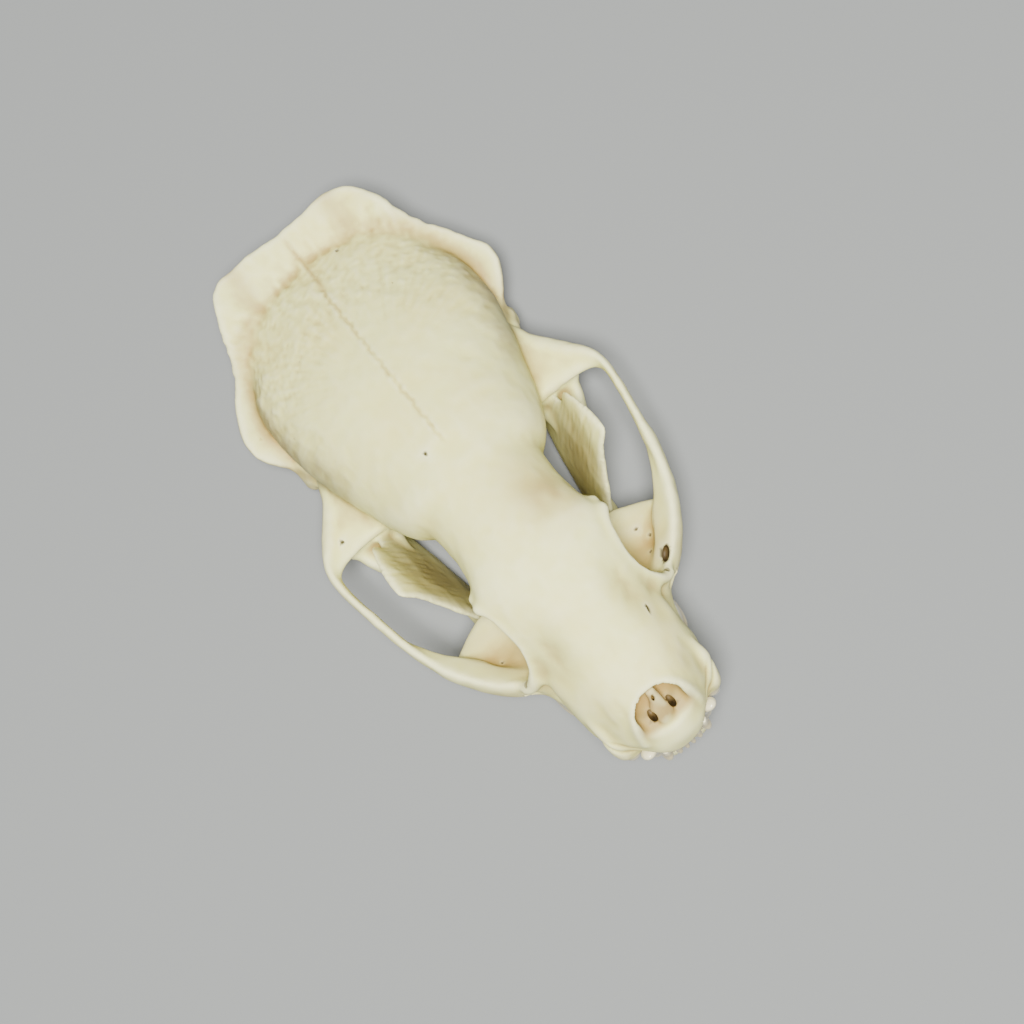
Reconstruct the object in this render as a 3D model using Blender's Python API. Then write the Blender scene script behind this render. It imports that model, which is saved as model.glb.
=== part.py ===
"""A striped skunk's skull with its lower jaw in place, life size, lying on a level surface.

Shapes are given in millimetres in the skull's own frame: x towards the skull's left side, s from the tip
of the upper jaw towards the back, and z up from the line of the upper tooth sockets. The last step tips
the whole skull onto its rest points and turns it into metres, with the floor at z = 0 and -Y to the nose.
"""

import math

import bmesh
import bpy
import numpy as np

TIP_BACK = math.radians(12.0)
FLOOR_S = 24.0
FLOOR_Z = -11.7
SEAM = 0.3
MM = 0.001

BONE_ROUGHNESS = 0.55
BONE_COLOURS = {
    "braincase": (0.80, 0.77, 0.64),
    "rostrum": (0.82, 0.79, 0.67),
    "zygomatic_arch_left": (0.82, 0.78, 0.64),
    "zygomatic_arch_right": (0.82, 0.78, 0.64),
    "mandible_left": (0.78, 0.73, 0.58),
    "mandible_right": (0.78, 0.73, 0.58),
}

VOXEL = 0.43
FILLET = 0.45
JAW_FILLET = 0.3
TOOTH_POINTS = 8
CRANIUM_FACES = 7600
JAW_FACES = 1500
LOOP_POINTS = 28

SUTURE_S = 30.0
SUTURE_HALF = 15.4
ARCH_CUTS = (28.4, 40.4)
ARCH_CUT_X = (14.8, 22.0)
CONDYLE = (14.2, 45.4, 4.6)
CONDYLE_RADIUS = 1.7
CONDYLE_HALF_WIDTH = 3.2
JOINT_GAP = 0.45


def clear_scene():
    for old in list(bpy.data.objects):
        bpy.data.objects.remove(old, do_unlink=True)


def material(name, colour, roughness):
    made = bpy.data.materials.new(name)
    made.use_nodes = True
    shader = made.node_tree.nodes["Principled BSDF"]
    shader.inputs["Base Color"].default_value = (*colour, 1.0)
    shader.inputs["Roughness"].default_value = roughness
    shader.inputs["Metallic"].default_value = 0.0
    return made


def smooth(rows, steps=5):
    """The rows read again at closer steps from a smooth curve through them."""
    rows = np.asarray(rows, float)
    ends = np.vstack([2 * rows[0] - rows[1], rows, 2 * rows[-1] - rows[-2]])
    out = []
    for i in range(len(rows) - 1):
        a, b, c, d = ends[i : i + 4]
        for t in np.arange(steps) / steps:
            bend = (2 * a - 5 * b + 4 * c - d) * t**2 + (3 * b - a - 3 * c + d) * t**3
            out.append(0.5 * (2 * b + (c - a) * t + bend))
    out.append(rows[-1])
    return np.array(out)


def loop(centre, across, up, down=None, round_up=2.0, round_down=2.0, count=LOOP_POINTS):
    """A rounded loop about a centre; across, up and down are half-axis vectors."""
    centre, across, up = (np.asarray(v, float) for v in (centre, across, up))
    down = -up if down is None else np.asarray(down, float)
    points = []
    for angle in np.arange(count) / count * math.tau:
        c, s = math.cos(angle), math.sin(angle)
        power = 2.0 / (round_up if c >= 0 else round_down)
        side = math.copysign(abs(s) ** power, s)
        points.append(centre + across * side + (up if c >= 0 else down) * abs(c) ** power)
    return points


def body(name, loops):
    """A closed mesh object skinned over a row of loops of equal count."""
    mesh = bmesh.new()
    rings = [[mesh.verts.new(point) for point in ring] for ring in loops]
    for low, high in zip(rings, rings[1:]):
        for i in range(len(low)):
            j = (i + 1) % len(low)
            mesh.faces.new((low[i], low[j], high[j], high[i]))
    for ring in (rings[0], rings[-1]):
        middle = mesh.verts.new(np.mean([vert.co for vert in ring], axis=0))
        for i in range(len(ring)):
            mesh.faces.new((ring[i], ring[(i + 1) % len(ring)], middle))
    bmesh.ops.recalc_face_normals(mesh, faces=mesh.faces)
    return as_object(name, mesh)


def as_object(name, mesh):
    data = bpy.data.meshes.new(name)
    mesh.to_mesh(data)
    mesh.free()
    made = bpy.data.objects.new(name, data)
    bpy.context.scene.collection.objects.link(made)
    return made


def unit(vector):
    return vector / max(np.linalg.norm(vector), 1e-9)


def tube(name, rows, hint=(0, 0, 1), steps=5, count=16):
    """A bar along x, s, z rows, each with a half-width across and a half-height towards the hint."""
    rows = smooth(rows, steps)
    path, across, tall = rows[:, :3], rows[:, 3], rows[:, 4]
    along = np.gradient(path, axis=0)
    loops = []
    for spot, way, wide, high in zip(path, along, across, tall):
        side = unit(np.cross(way, hint))
        up = unit(np.cross(side, way))
        loops.append(loop(spot, side * wide, up * high, count=count))
    return body(name, loops)


def ball(name, centre, radii):
    rows = []
    for turn in np.linspace(-0.98, 0.98, 13) * math.pi / 2:
        spot = np.array(centre) + (0, radii[1] * math.sin(turn), 0)
        shrink = math.cos(turn)
        rows.append(loop(spot, (radii[0] * shrink, 0, 0), (0, 0, radii[2] * shrink), count=18))
    return body(name, rows)


def mirrored(obj):
    """The same form on the skull's other side."""
    mesh = bmesh.new()
    mesh.from_mesh(obj.data)
    bmesh.ops.scale(mesh, vec=(-1, 1, 1), verts=mesh.verts)
    bmesh.ops.reverse_faces(mesh, faces=mesh.faces)
    return as_object(obj.name + "_right", mesh)


def both_sides(forms):
    return forms + [mirrored(form) for form in forms]


def remove(objects):
    for obj in objects:
        bpy.data.objects.remove(obj, do_unlink=True)


def joined(name, objects):
    """All the meshes in one object, still as separate shells."""
    mesh = bmesh.new()
    for obj in objects:
        mesh.from_mesh(obj.data)
    remove(objects)
    return as_object(name, mesh)


def apply_modifiers(obj):
    graph = bpy.context.evaluated_depsgraph_get()
    new = bpy.data.meshes.new_from_object(obj.evaluated_get(graph))
    obj.modifiers.clear()
    obj.data = new


def add_modifier(obj, kind, **settings):
    modifier = obj.modifiers.new(kind.title(), kind)
    for key, value in settings.items():
        setattr(modifier, key, value)
    return modifier


def fuse(name, objects, fillet=FILLET):
    """Overlapping forms grown together as bone, with the hollows where they meet filled a little."""
    bone = joined(name, objects)
    add_modifier(bone, "REMESH", mode="VOXEL", voxel_size=VOXEL)
    add_modifier(bone, "DISPLACE", strength=fillet, mid_level=0.0)
    add_modifier(bone, "REMESH", mode="VOXEL", voxel_size=VOXEL)
    add_modifier(bone, "DISPLACE", strength=-fillet, mid_level=0.0)
    add_modifier(bone, "REMESH", mode="VOXEL", voxel_size=VOXEL)
    add_modifier(bone, "SMOOTH", factor=0.5, iterations=2)
    apply_modifiers(bone)
    return bone


def boolean(obj, others, operation):
    """Cuts or unites closed forms, which are then removed."""
    group = bpy.data.collections.new("tools")
    for other in others:
        group.objects.link(other)
    modifier = add_modifier(obj, "BOOLEAN", operation=operation, solver="MANIFOLD")
    modifier.operand_type = "COLLECTION"
    modifier.collection = group
    apply_modifiers(obj)
    bpy.data.collections.remove(group)
    remove(others)


def shells(obj):
    """The closed surfaces of an object as separate bmeshes, the largest first."""
    mesh = bmesh.new()
    mesh.from_mesh(obj.data)
    left = set(mesh.verts)
    groups = []
    while left:
        front = [left.pop()]
        group = set(front)
        while front:
            for edge in front.pop().link_edges:
                for vert in edge.verts:
                    if vert in left:
                        left.discard(vert)
                        group.add(vert)
                        front.append(vert)
        groups.append(group)
    groups.sort(key=len, reverse=True)
    out = []
    for group in groups:
        index = {vert: i for i, vert in enumerate(group)}
        piece = bmesh.new()
        verts = [piece.verts.new(vert.co) for vert in group]
        faces = {face for vert in group for face in vert.link_faces}
        for face in faces:
            piece.faces.new([verts[index[vert]] for vert in face.verts])
        out.append(piece)
    mesh.free()
    return out


def keep_largest(obj):
    pieces = shells(obj)
    pieces[0].to_mesh(obj.data)
    for piece in pieces:
        piece.free()


def thinned(obj, faces):
    """Fewer, larger triangles over the same form."""
    count = sum(len(face.vertices) - 2 for face in obj.data.polygons)
    add_modifier(obj, "DECIMATE", ratio=min(1.0, faces / count), use_collapse_triangulate=True)
    apply_modifiers(obj)


def slab(name, low, high):
    """A box between two corners, used to part or trim."""
    mesh = bmesh.new()
    bmesh.ops.create_cube(mesh, size=1.0)
    low, high = np.array(low, float), np.array(high, float)
    bmesh.ops.scale(mesh, vec=high - low, verts=mesh.verts)
    bmesh.ops.translate(mesh, vec=(low + high) / 2, verts=mesh.verts)
    return as_object(name, mesh)


# The vault: rostrum, forehead and braincase in one row of sections.
# Columns: s, half-width, top z, z of the widest line, bottom z, squareness above and below.
VAULT = (
    (1.6, 1.4, 3.6, 2.6, 1.5, 2.0, 2.0),
    (2.1, 2.6, 5.0, 2.7, 0.7, 2.0, 2.0),
    (3.1, 3.5, 6.6, 3.0, 0.3, 2.0, 2.0),
    (4.6, 4.9, 9.0, 3.6, 0.2, 2.0, 2.1),
    (6.6, 6.5, 11.0, 4.0, 0.3, 2.1, 2.3),
    (9.4, 7.8, 12.4, 4.6, 0.6, 2.2, 2.4),
    (12.8, 8.1, 14.0, 5.6, 1.0, 2.3, 2.2),
    (15.7, 8.0, 15.5, 8.4, 3.0, 2.4, 2.0),
    (18.5, 8.0, 16.9, 12.0, 5.0, 2.5, 1.8),
    (22.0, 8.2, 18.3, 14.0, 6.6, 2.5, 1.7),
    (25.2, 8.7, 19.4, 14.8, 7.2, 2.5, 1.7),
    (28.4, 7.9, 20.1, 14.6, 7.2, 2.3, 1.8),
    (31.4, 7.6, 20.6, 14.2, 6.8, 2.1, 1.9),
    (34.2, 7.7, 21.0, 13.8, 6.0, 2.1, 1.9),
    (35.6, 8.2, 21.1, 13.7, 5.6, 2.1, 1.9),
    (36.8, 9.3, 21.2, 13.5, 5.2, 2.1, 2.0),
    (38.4, 10.3, 21.3, 13.2, 4.8, 2.1, 2.0),
    (42.0, 11.6, 21.5, 12.2, 3.6, 2.0, 2.1),
    (47.0, 13.0, 21.3, 11.4, 2.6, 1.95, 2.1),
    (52.0, 14.3, 20.8, 10.8, 2.0, 1.9, 2.1),
    (57.0, 15.2, 19.9, 10.2, 1.7, 1.85, 1.9),
    (62.0, 15.0, 18.5, 10.2, 1.6, 1.85, 1.8),
    (66.0, 13.6, 17.2, 10.6, 2.0, 1.9, 1.8),
    (69.0, 12.0, 16.0, 11.0, 3.0, 2.0, 1.9),
    (71.2, 10.0, 14.9, 10.8, 4.4, 2.2, 2.0),
    (72.6, 6.8, 13.8, 10.2, 6.0, 2.2, 2.0),
)

# The narrow core under the vault, from the palate to the base of the braincase, in the same columns.
CORE = (
    (7.0, 4.4, 7.0, 4.0, 1.7, 2.2, 2.2),
    (12.0, 5.6, 10.0, 5.0, 1.9, 2.2, 2.2),
    (18.0, 6.0, 13.0, 6.0, 2.0, 2.2, 2.2),
    (24.0, 5.6, 14.0, 7.0, 2.2, 2.2, 2.0),
    (29.0, 5.2, 14.0, 7.6, 3.4, 2.2, 2.0),
    (35.0, 5.6, 13.0, 8.0, 3.6, 2.2, 2.0),
    (41.0, 6.6, 12.0, 7.0, 3.0, 2.2, 2.0),
    (47.0, 7.6, 10.0, 6.0, 2.2, 2.2, 2.0),
)

# The arch of the cheekbone: x, s, z, half-width and half-height.
ARCH = (
    (6.2, 15.8, 4.4, 1.0, 1.6),
    (8.3, 16.9, 4.6, 1.0, 1.9),
    (10.9, 18.3, 4.9, 1.1, 2.1),
    (13.5, 20.5, 5.3, 0.9, 2.1),
    (15.9, 23.7, 6.1, 0.7, 1.9),
    (17.6, 28.0, 6.9, 0.6, 1.8),
    (18.9, 34.0, 8.1, 0.55, 1.7),
    (19.9, 39.5, 8.9, 0.5, 1.5),
    (19.5, 42.8, 9.0, 0.7, 1.3),
    (17.3, 45.6, 8.7, 0.9, 1.1),
    (15.2, 48.8, 8.2, 1.0, 1.0),
    (13.4, 53.0, 7.6, 1.2, 1.0),
)

# The floor of the eye socket between the palate and the arch: s, middle x, middle z, half-sizes.
SOCKET_FLOOR = (
    (15.6, 6.8, 3.4, 1.3, 2.0),
    (18.0, 8.6, 3.4, 2.4, 2.2),
    (20.8, 10.2, 3.0, 4.2, 1.8),
    (23.8, 11.3, 2.8, 4.9, 1.4),
    (26.0, 10.9, 2.6, 4.7, 1.2),
    (28.0, 9.8, 2.3, 2.9, 0.9),
    (29.2, 8.8, 2.0, 1.3, 0.6),
)

# The shelf over the jaw joint: x, front s, back s, z and half-thickness.
SHELF = (
    (9.0, 42.0, 56.0, 7.6, 1.6),
    (12.0, 41.9, 54.0, 7.8, 1.3),
    (15.0, 41.8, 50.9, 8.1, 1.0),
    (17.4, 41.5, 47.5, 8.5, 0.9),
    (19.3, 41.0, 44.6, 8.9, 0.9),
)

# The crest round the back of the head: rim x, s, z, then the root x, s, z inside the braincase.
CREST = (
    (14.6, 55.4, 4.4, 10.0, 56.2, 5.4),
    (15.8, 57.2, 5.6, 9.8, 57.6, 6.2),
    (17.8, 59.3, 7.0, 9.6, 59.0, 7.2),
    (19.1, 62.0, 8.6, 9.4, 60.4, 8.4),
    (16.2, 65.4, 10.9, 8.8, 61.8, 9.5),
    (13.4, 69.4, 13.2, 7.6, 64.0, 11.5),
    (12.0, 73.2, 14.6, 6.0, 65.5, 13.0),
    (9.8, 76.7, 15.4, 4.2, 66.5, 13.0),
    (6.0, 77.4, 15.7, 2.4, 67.0, 13.0),
    (0.0, 77.2, 15.4, 0.0, 67.4, 13.0),
)
CREST_ROOT = 2.3
CREST_RIM = 0.55
CREST_DISH = 1.0

RIDGE = (
    (0.0, 65.0, 16.9, 0.4, 0.5),
    (0.0, 68.5, 16.0, 0.45, 0.7),
    (0.0, 72.0, 15.5, 0.5, 0.9),
    (0.0, 76.6, 15.5, 0.45, 0.7),
)

# Root swellings of the upper dog-teeth, and the tooth-bearing rims: x, s, z, half-width, half-height.
CANINE_ROOT = (
    (5.4, 5.2, 0.6, 1.4, 1.4),
    (5.7, 5.9, 3.0, 1.5, 1.5),
    (6.0, 7.5, 5.6, 1.3, 1.4),
    (5.8, 10.4, 7.4, 1.0, 1.1),
)
TOOTH_RIM = (
    (5.3, 5.6, 2.2, 1.4, 1.9),
    (6.2, 9.3, 2.2, 1.4, 1.9),
    (6.8, 14.0, 2.2, 1.4, 1.9),
    (8.4, 19.0, 2.0, 2.1, 1.8),
    (9.1, 24.0, 1.9, 2.5, 1.6),
    (8.6, 28.2, 2.1, 1.8, 1.3),
)
PTERYGOID = (
    (4.0, 26.5, 3.0, 1.0, 1.6),
    (3.7, 31.0, 3.0, 0.7, 2.6),
    (3.6, 36.0, 2.8, 0.6, 2.6),
    (3.7, 40.5, 2.2, 0.6, 2.2),
    (3.9, 43.6, 0.8, 0.6, 1.0),
)
MASTOID = (
    (12.0, 56.0, 7.0, 2.2, 2.2),
    (14.0, 56.0, 4.6, 1.8, 2.0),
    (14.8, 56.0, 2.4, 1.5, 1.7),
    (14.8, 56.0, 0.8, 0.9, 1.1),
)
PAROCCIPITAL = (
    (9.8, 62.6, 5.0, 2.2, 2.2),
    (10.4, 63.2, 2.4, 1.8, 1.6),
    (10.6, 63.6, 0.8, 1.4, 1.2),
    (10.6, 63.8, -0.2, 0.8, 0.8),
)
EAR_TUBE = (
    (9.0, 52.6, 3.4, 2.2, 2.2),
    (12.0, 51.4, 4.4, 2.0, 2.0),
    (15.0, 50.8, 5.4, 1.9, 1.9),
)
POSTGLENOID = (
    (10.6, 48.2, 5.6, 1.0, 2.6),
    (13.0, 48.4, 5.2, 0.8, 2.6),
    (16.4, 48.2, 5.8, 0.7, 2.2),
)
BROW_CORNER = (
    (7.2, 23.4, 16.8, 1.3, 1.2),
    (8.4, 24.2, 16.5, 0.9, 0.9),
    (9.2, 24.9, 16.2, 0.6, 0.6),
)
LACRIMAL_CORNER = (
    (8.0, 19.8, 13.4, 0.9, 1.0),
    (8.4, 17.4, 10.8, 0.9, 1.3),
    (8.6, 16.6, 8.2, 0.9, 1.4),
    (8.7, 16.8, 5.8, 1.1, 1.5),
)

# One half of the lower jaw: x, s, z, half-width and half-height.
JAW = (
    (1.7, 3.9, -3.8, 1.6, 1.1),
    (1.9, 5.4, -5.2, 1.9, 2.3),
    (2.7, 8.2, -6.5, 2.2, 3.1),
    (4.4, 12.5, -7.1, 2.1, 3.6),
    (6.2, 18.0, -7.3, 2.0, 3.9),
    (7.8, 24.0, -7.4, 1.8, 4.3),
    (9.0, 30.0, -6.6, 1.5, 4.4),
    (10.2, 35.5, -5.2, 1.2, 4.3),
    (11.4, 39.5, -4.0, 1.0, 4.2),
    (12.2, 43.0, -3.6, 0.9, 4.0),
    (12.6, 46.0, -4.6, 1.0, 2.9),
    (12.6, 48.6, -6.0, 1.1, 1.7),
    (12.5, 50.2, -6.4, 0.7, 0.9),
)

# The blade of the jaw inside the arch: z, middle x, front s, back s and half-thickness.
CORONOID = (
    (-8.0, 9.6, 30.0, 38.0, 1.1),
    (-4.0, 10.7, 30.6, 45.0, 1.0),
    (0.0, 11.5, 31.2, 46.4, 0.9),
    (2.5, 11.9, 31.8, 45.2, 0.8),
    (5.0, 12.3, 32.2, 43.4, 0.75),
    (7.0, 12.8, 32.2, 40.8, 0.75),
    (9.0, 13.4, 32.1, 40.5, 0.75),
    (10.6, 13.9, 31.9, 39.8, 0.7),
    (11.6, 14.3, 31.7, 37.6, 0.7),
    (12.4, 14.7, 31.6, 34.6, 0.55),
)
JAW_NECK = (
    (12.0, 43.4, 0.0, 1.1, 1.8),
    (12.8, 44.6, 2.4, 1.2, 1.5),
    (13.4, 45.2, 4.0, 1.3, 1.3),
)
# The raised hind border of the hollow on the blade's outer side, from the joint roller forwards.
JAW_BORDER = (
    (16.1, 45.0, 4.2, 0.9, 1.2),
    (15.6, 43.0, 2.4, 0.9, 1.3),
    (14.7, 40.6, 0.8, 0.9, 1.4),
    (13.3, 38.0, -0.8, 0.9, 1.5),
    (11.3, 35.0, -2.8, 1.0, 1.6),
    (9.5, 31.6, -5.0, 0.9, 1.2),
)
JAW_WEB = (
    (12.9, 43.4, 1.0, 2.2, 1.0),
    (12.8, 41.0, -0.4, 2.1, 1.0),
    (12.0, 38.0, -2.0, 1.5, 1.0),
)
BLADE_TURN = 0.12


def section_body(name, table, steps=4):
    loops = []
    for s, half, top, widest, bottom, round_up, round_down in smooth(table, steps):
        up, down = (0, 0, top - widest), (0, 0, bottom - widest)
        loops.append(loop((0, s, widest), (half, 0, 0), up, down, round_up, round_down))
    return body(name, loops)


def socket_floor():
    rows = smooth(SOCKET_FLOOR)
    return body("floor", [loop((x, s, z), (w, 0, 0), (0, 0, h), count=18) for s, x, z, w, h in rows])


def jaw_shelf():
    loops = []
    for x, front, back, z, thick in smooth(SHELF, 4):
        middle, half = (front + back) / 2, (back - front) / 2
        loops.append(loop((x, middle, z), (0, half, 0), (0, 0, thick), round_up=3, round_down=3, count=24))
    return body("shelf", loops)


def crest():
    """A thin dished plate from inside the braincase out to the rim, over both sides."""
    left = [list(row) for row in CREST]
    right = [[-row[0], row[1], row[2], -row[3], row[4], row[5]] for row in left[-2::-1]]
    rows = smooth(left + right, 4)
    rims, roots = rows[:, :3], rows[:, 3:]
    along = np.gradient(rims, axis=0)
    loops = []
    for rim, root, way in zip(rims, roots, along):
        out = unit(rim - root)
        face = unit(np.cross(out, way))
        face = face if face[2] >= 0 else -face
        middle = (rim + root) / 2 - face * CREST_DISH
        half_middle = (CREST_ROOT + CREST_RIM) / 2.4
        front = [root + face * CREST_ROOT, middle + face * half_middle, rim + face * CREST_RIM]
        back = [rim - face * CREST_RIM, middle - face * half_middle, root - face * CREST_ROOT]
        loops.append(front + [rim + out * 0.3] + back)
    return body("crest", loops)


def cavity(name, rows, hint=(0, 0, 1)):
    return tube(name, rows, hint, steps=4, count=16)


NOSE_HOLE = (
    (0.0, 0.2, 12.2, 3.1, 2.3),
    (0.0, 5.2, 9.1, 3.0, 2.3),
    (0.0, 6.8, 8.2, 2.6, 2.0),
    (0.0, 7.8, 7.6, 1.6, 1.2),
)
CHEEK_HOLE = (
    (9.6, 13.6, 3.9, 1.1, 1.1),
    (10.6, 17.0, 4.2, 1.0, 1.1),
    (11.3, 20.0, 5.4, 1.0, 1.2),
    (11.6, 22.4, 8.5, 1.1, 1.5),
)
BRAIN_HOLE = (
    (0.0, 78.0, 7.6, 3.8, 3.4),
    (0.0, 71.0, 7.8, 3.8, 3.3),
    (0.0, 67.0, 8.4, 3.5, 3.0),
    (0.0, 65.0, 8.6, 2.2, 2.0),
)
EAR_HOLE = (
    (18.0, 50.2, 5.8, 1.2, 1.2),
    (15.0, 50.8, 5.3, 1.2, 1.2),
    (12.0, 51.4, 4.4, 1.1, 1.1),
)


def cranium():
    """The upper skull as one fused bone, before it is parted."""
    one_side = [
        tube("arch", ARCH),
        socket_floor(),
        jaw_shelf(),
        tube("canine_root", CANINE_ROOT, hint=(0, 1, 0)),
        tube("tooth_rim", TOOTH_RIM),
        tube("pterygoid", PTERYGOID),
        tube("mastoid", MASTOID, hint=(0, 1, 0)),
        tube("paroccipital", PAROCCIPITAL, hint=(0, 1, 0)),
        tube("ear_tube", EAR_TUBE),
        tube("postglenoid", POSTGLENOID),
        tube("brow_corner", BROW_CORNER),
        tube("lacrimal_corner", LACRIMAL_CORNER),
        ball("bulla", (8.4, 55.6, 2.6), (4.0, 6.4, 3.4)),
        ball("condyle_back", (4.9, 71.6, 5.0), (2.4, 2.4, 3.0)),
    ]
    forms = both_sides(one_side)
    forms += [section_body("vault", VAULT), section_body("core", CORE), crest(), tube("ridge", RIDGE)]
    bone = fuse("cranium", forms)
    hollows = both_sides([cavity("cheek_hole", CHEEK_HOLE), cavity("ear_hole", EAR_HOLE)])
    hollows += both_sides([joint_hollow()])
    hollows += [cavity("nose_hole", NOSE_HOLE), cavity("brain_hole", BRAIN_HOLE)]
    boolean(bone, hollows, "DIFFERENCE")
    keep_largest(bone)
    thinned(bone, CRANIUM_FACES)
    return bone


def jaw_half(side):
    """One half of the lower jaw with its teeth; side is 1 for the left and -1 for the right."""
    forms = [tube("bar", JAW), jaw_blade(), tube("neck", JAW_NECK), jaw_roller()]
    forms += [tube("border", JAW_BORDER), tube("web", JAW_WEB)]
    bone = fuse("jaw", forms, JAW_FILLET)
    keep_largest(bone)
    thinned(bone, JAW_FACES)
    boolean(bone, teeth(LOWER_TEETH, LOWER_GUM, 1), "UNION")
    boolean(bone, [slab("middle", (-9.0, -9.0, -30.0), (SEAM / 2, 60.0, 30.0))], "DIFFERENCE")
    keep_largest(bone)
    if side > 0:
        return bone
    other = mirrored(bone)
    remove([bone])
    return other


def joint_hollow():
    """The trough under the shelf that holds the jaw's joint roller."""
    x, s, z = CONDYLE
    reach = CONDYLE_HALF_WIDTH + 1.2
    size = CONDYLE_RADIUS + JOINT_GAP
    rows = [(x - reach, s, z, size, size), (x, s, z, size, size), (x + reach, s, z, size, size)]
    return tube("joint_hollow", rows, steps=2, count=20)


def jaw_blade():
    loops = []
    for z, x, front, back, thick in smooth(CORONOID, 4):
        middle, half = (front + back) / 2, (back - front) / 2
        across = (BLADE_TURN * half, half, 0)
        loops.append(loop((x, middle, z), across, (thick, 0, 0), round_up=2.6, round_down=2.6, count=28))
    return body("blade", loops)


def jaw_roller():
    x, s, z = CONDYLE
    rows = []
    for part in (-1.0, -0.8, 0.0, 0.8, 1.0):
        size = CONDYLE_RADIUS * (0.55 if abs(part) == 1.0 else 1.0)
        rows.append((x + part * CONDYLE_HALF_WIDTH, s, z, size, size))
    return tube("roller", rows, steps=3, count=18)


# Teeth of one side: x, s, half-width across, half-length along the row, crown height and the tip's lean.
UPPER_TEETH = (
    ("incisor", 0.72, 2.4, 0.42, 0.55, 1.4, 0.0),
    ("incisor", 1.7, 2.6, 0.5, 0.55, 1.5, 0.1),
    ("incisor", 2.55, 2.9, 0.5, 0.6, 1.6, 0.1),
    ("canine", 5.6, 6.1, 1.2, 1.5, 7.4, 0.6),
    ("premolar", 6.1, 8.7, 0.7, 0.9, 1.7, 0.0),
    ("premolar", 6.7, 11.4, 0.9, 1.5, 2.6, 0.0),
    ("carnassial", 7.5, 16.3, 1.3, 3.3, 3.2, 0.0),
    ("molar", 8.8, 22.8, 3.0, 2.9, 1.7, 0.0),
)
LOWER_TEETH = (
    ("incisor", 0.55, 3.8, 0.32, 0.45, 1.3, 0.0),
    ("incisor", 1.25, 3.8, 0.34, 0.5, 1.4, 0.0),
    ("incisor", 2.0, 4.0, 0.4, 0.5, 1.5, 0.0),
    ("canine", 3.4, 4.6, 0.95, 1.15, 5.7, 0.8),
    ("premolar", 3.6, 6.9, 0.6, 0.9, 1.1, 0.0),
    ("premolar", 4.3, 9.5, 0.8, 1.3, 1.7, 0.0),
    ("premolar", 5.0, 12.3, 0.9, 1.6, 1.9, 0.0),
    ("carnassial", 5.75, 17.2, 1.0, 3.2, 2.1, 0.0),
    ("molar", 7.6, 22.4, 1.2, 1.4, 0.8, 0.0),
)
UPPER_GUM = 0.6
LOWER_GUM = -3.7
ROOT_DEPTH = 1.6


# How each crown tapers: shares of its height, and of its width at each of them.
CROWNS = {
    "incisor": ((0.0, 0.5, 0.9, 1.0), (1.0, 1.05, 0.85, 0.5)),
    "canine": ((0.0, 0.25, 0.5, 0.75, 0.93, 1.0), (1.0, 0.86, 0.68, 0.46, 0.24, 0.1)),
    "premolar": ((0.0, 0.45, 0.8, 1.0), (1.0, 1.0, 0.55, 0.2)),
    "carnassial": ((0.0, 0.45, 0.8, 1.0), (1.0, 1.0, 0.6, 0.25)),
    "molar": ((0.0, 0.45, 0.8, 1.0), (1.0, 1.0, 0.92, 0.6)),
}
CANINE_CURVES = {-1: 0.14, 1: -0.32}


def tooth(kind, x, s, wide, long, tall, lean, gum, way):
    """One crown with its root, growing from the gum line towards way, which is -1 down or 1 up."""
    base = (x, s, gum - way * ROOT_DEPTH)
    loops = [loop(base, (wide * 0.8, 0, 0), (0, long * 0.8, 0), count=TOOTH_POINTS)]
    for rise, size in zip(*CROWNS[kind]):
        curve = CANINE_CURVES[way] * tall * rise**2 if kind == "canine" else 0.0
        spot = (x + lean * rise, s + curve, gum + way * tall * rise)
        loops.append(loop(spot, (wide * size, 0, 0), (0, long * size, 0), count=TOOTH_POINTS))
    return body(kind, loops)


def teeth(table, gum, way):
    return [tooth(*row, gum, way) for row in table]


def upper_right():
    made = teeth(UPPER_TEETH, UPPER_GUM, -1)
    other = [mirrored(obj) for obj in made]
    remove(made)
    return other


def part_cranium(bone):
    """Thin cuts part the face and the arches from the braincase. Gives the pieces by name."""
    far, half = 60.0, SEAM / 2
    cuts = [slab("cut", (-SUTURE_HALF, SUTURE_S - half, -far), (SUTURE_HALF, SUTURE_S + half, far))]
    low, high = ARCH_CUT_X
    for s in ARCH_CUTS:
        cuts.append(slab("cut", (low, s - half, -far), (high, s + half, far)))
        cuts.append(slab("cut", (-high, s - half, -far), (-low, s + half, far)))
    boolean(bone, cuts, "DIFFERENCE")
    pieces = {}
    for mesh in shells(bone)[:4]:
        middle = np.mean([vert.co for vert in mesh.verts], axis=0)
        if abs(middle[0]) > SUTURE_HALF:
            name = "zygomatic_arch_left" if middle[0] > 0 else "zygomatic_arch_right"
        else:
            name = "rostrum" if middle[1] < SUTURE_S else "braincase"
        pieces[name] = as_object(name, mesh)
    remove([bone])
    return pieces


def to_rest(obj):
    """Turns skull millimetres into metres on the floor, nose towards -Y, with flats where it rests."""
    cos, sin = math.cos(TIP_BACK), math.sin(TIP_BACK)
    mesh = bmesh.new()
    mesh.from_mesh(obj.data)
    for vert in mesh.verts:
        x, y, z = vert.co.x, vert.co.y - FLOOR_S, vert.co.z - FLOOR_Z
        vert.co = (x * MM, (y * cos + z * sin) * MM, (z * cos - y * sin) * MM)
    geometry = mesh.verts[:] + mesh.edges[:] + mesh.faces[:]
    bmesh.ops.bisect_plane(mesh, geom=geometry, plane_co=(0, 0, 0), plane_no=(0, 0, -1), clear_outer=True)
    edges = [edge for edge in mesh.edges if edge.is_boundary]
    if edges:
        bmesh.ops.holes_fill(mesh, edges=edges, sides=0)
    mesh.to_mesh(obj.data)
    mesh.free()
    obj.data.shade_smooth()


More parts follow.
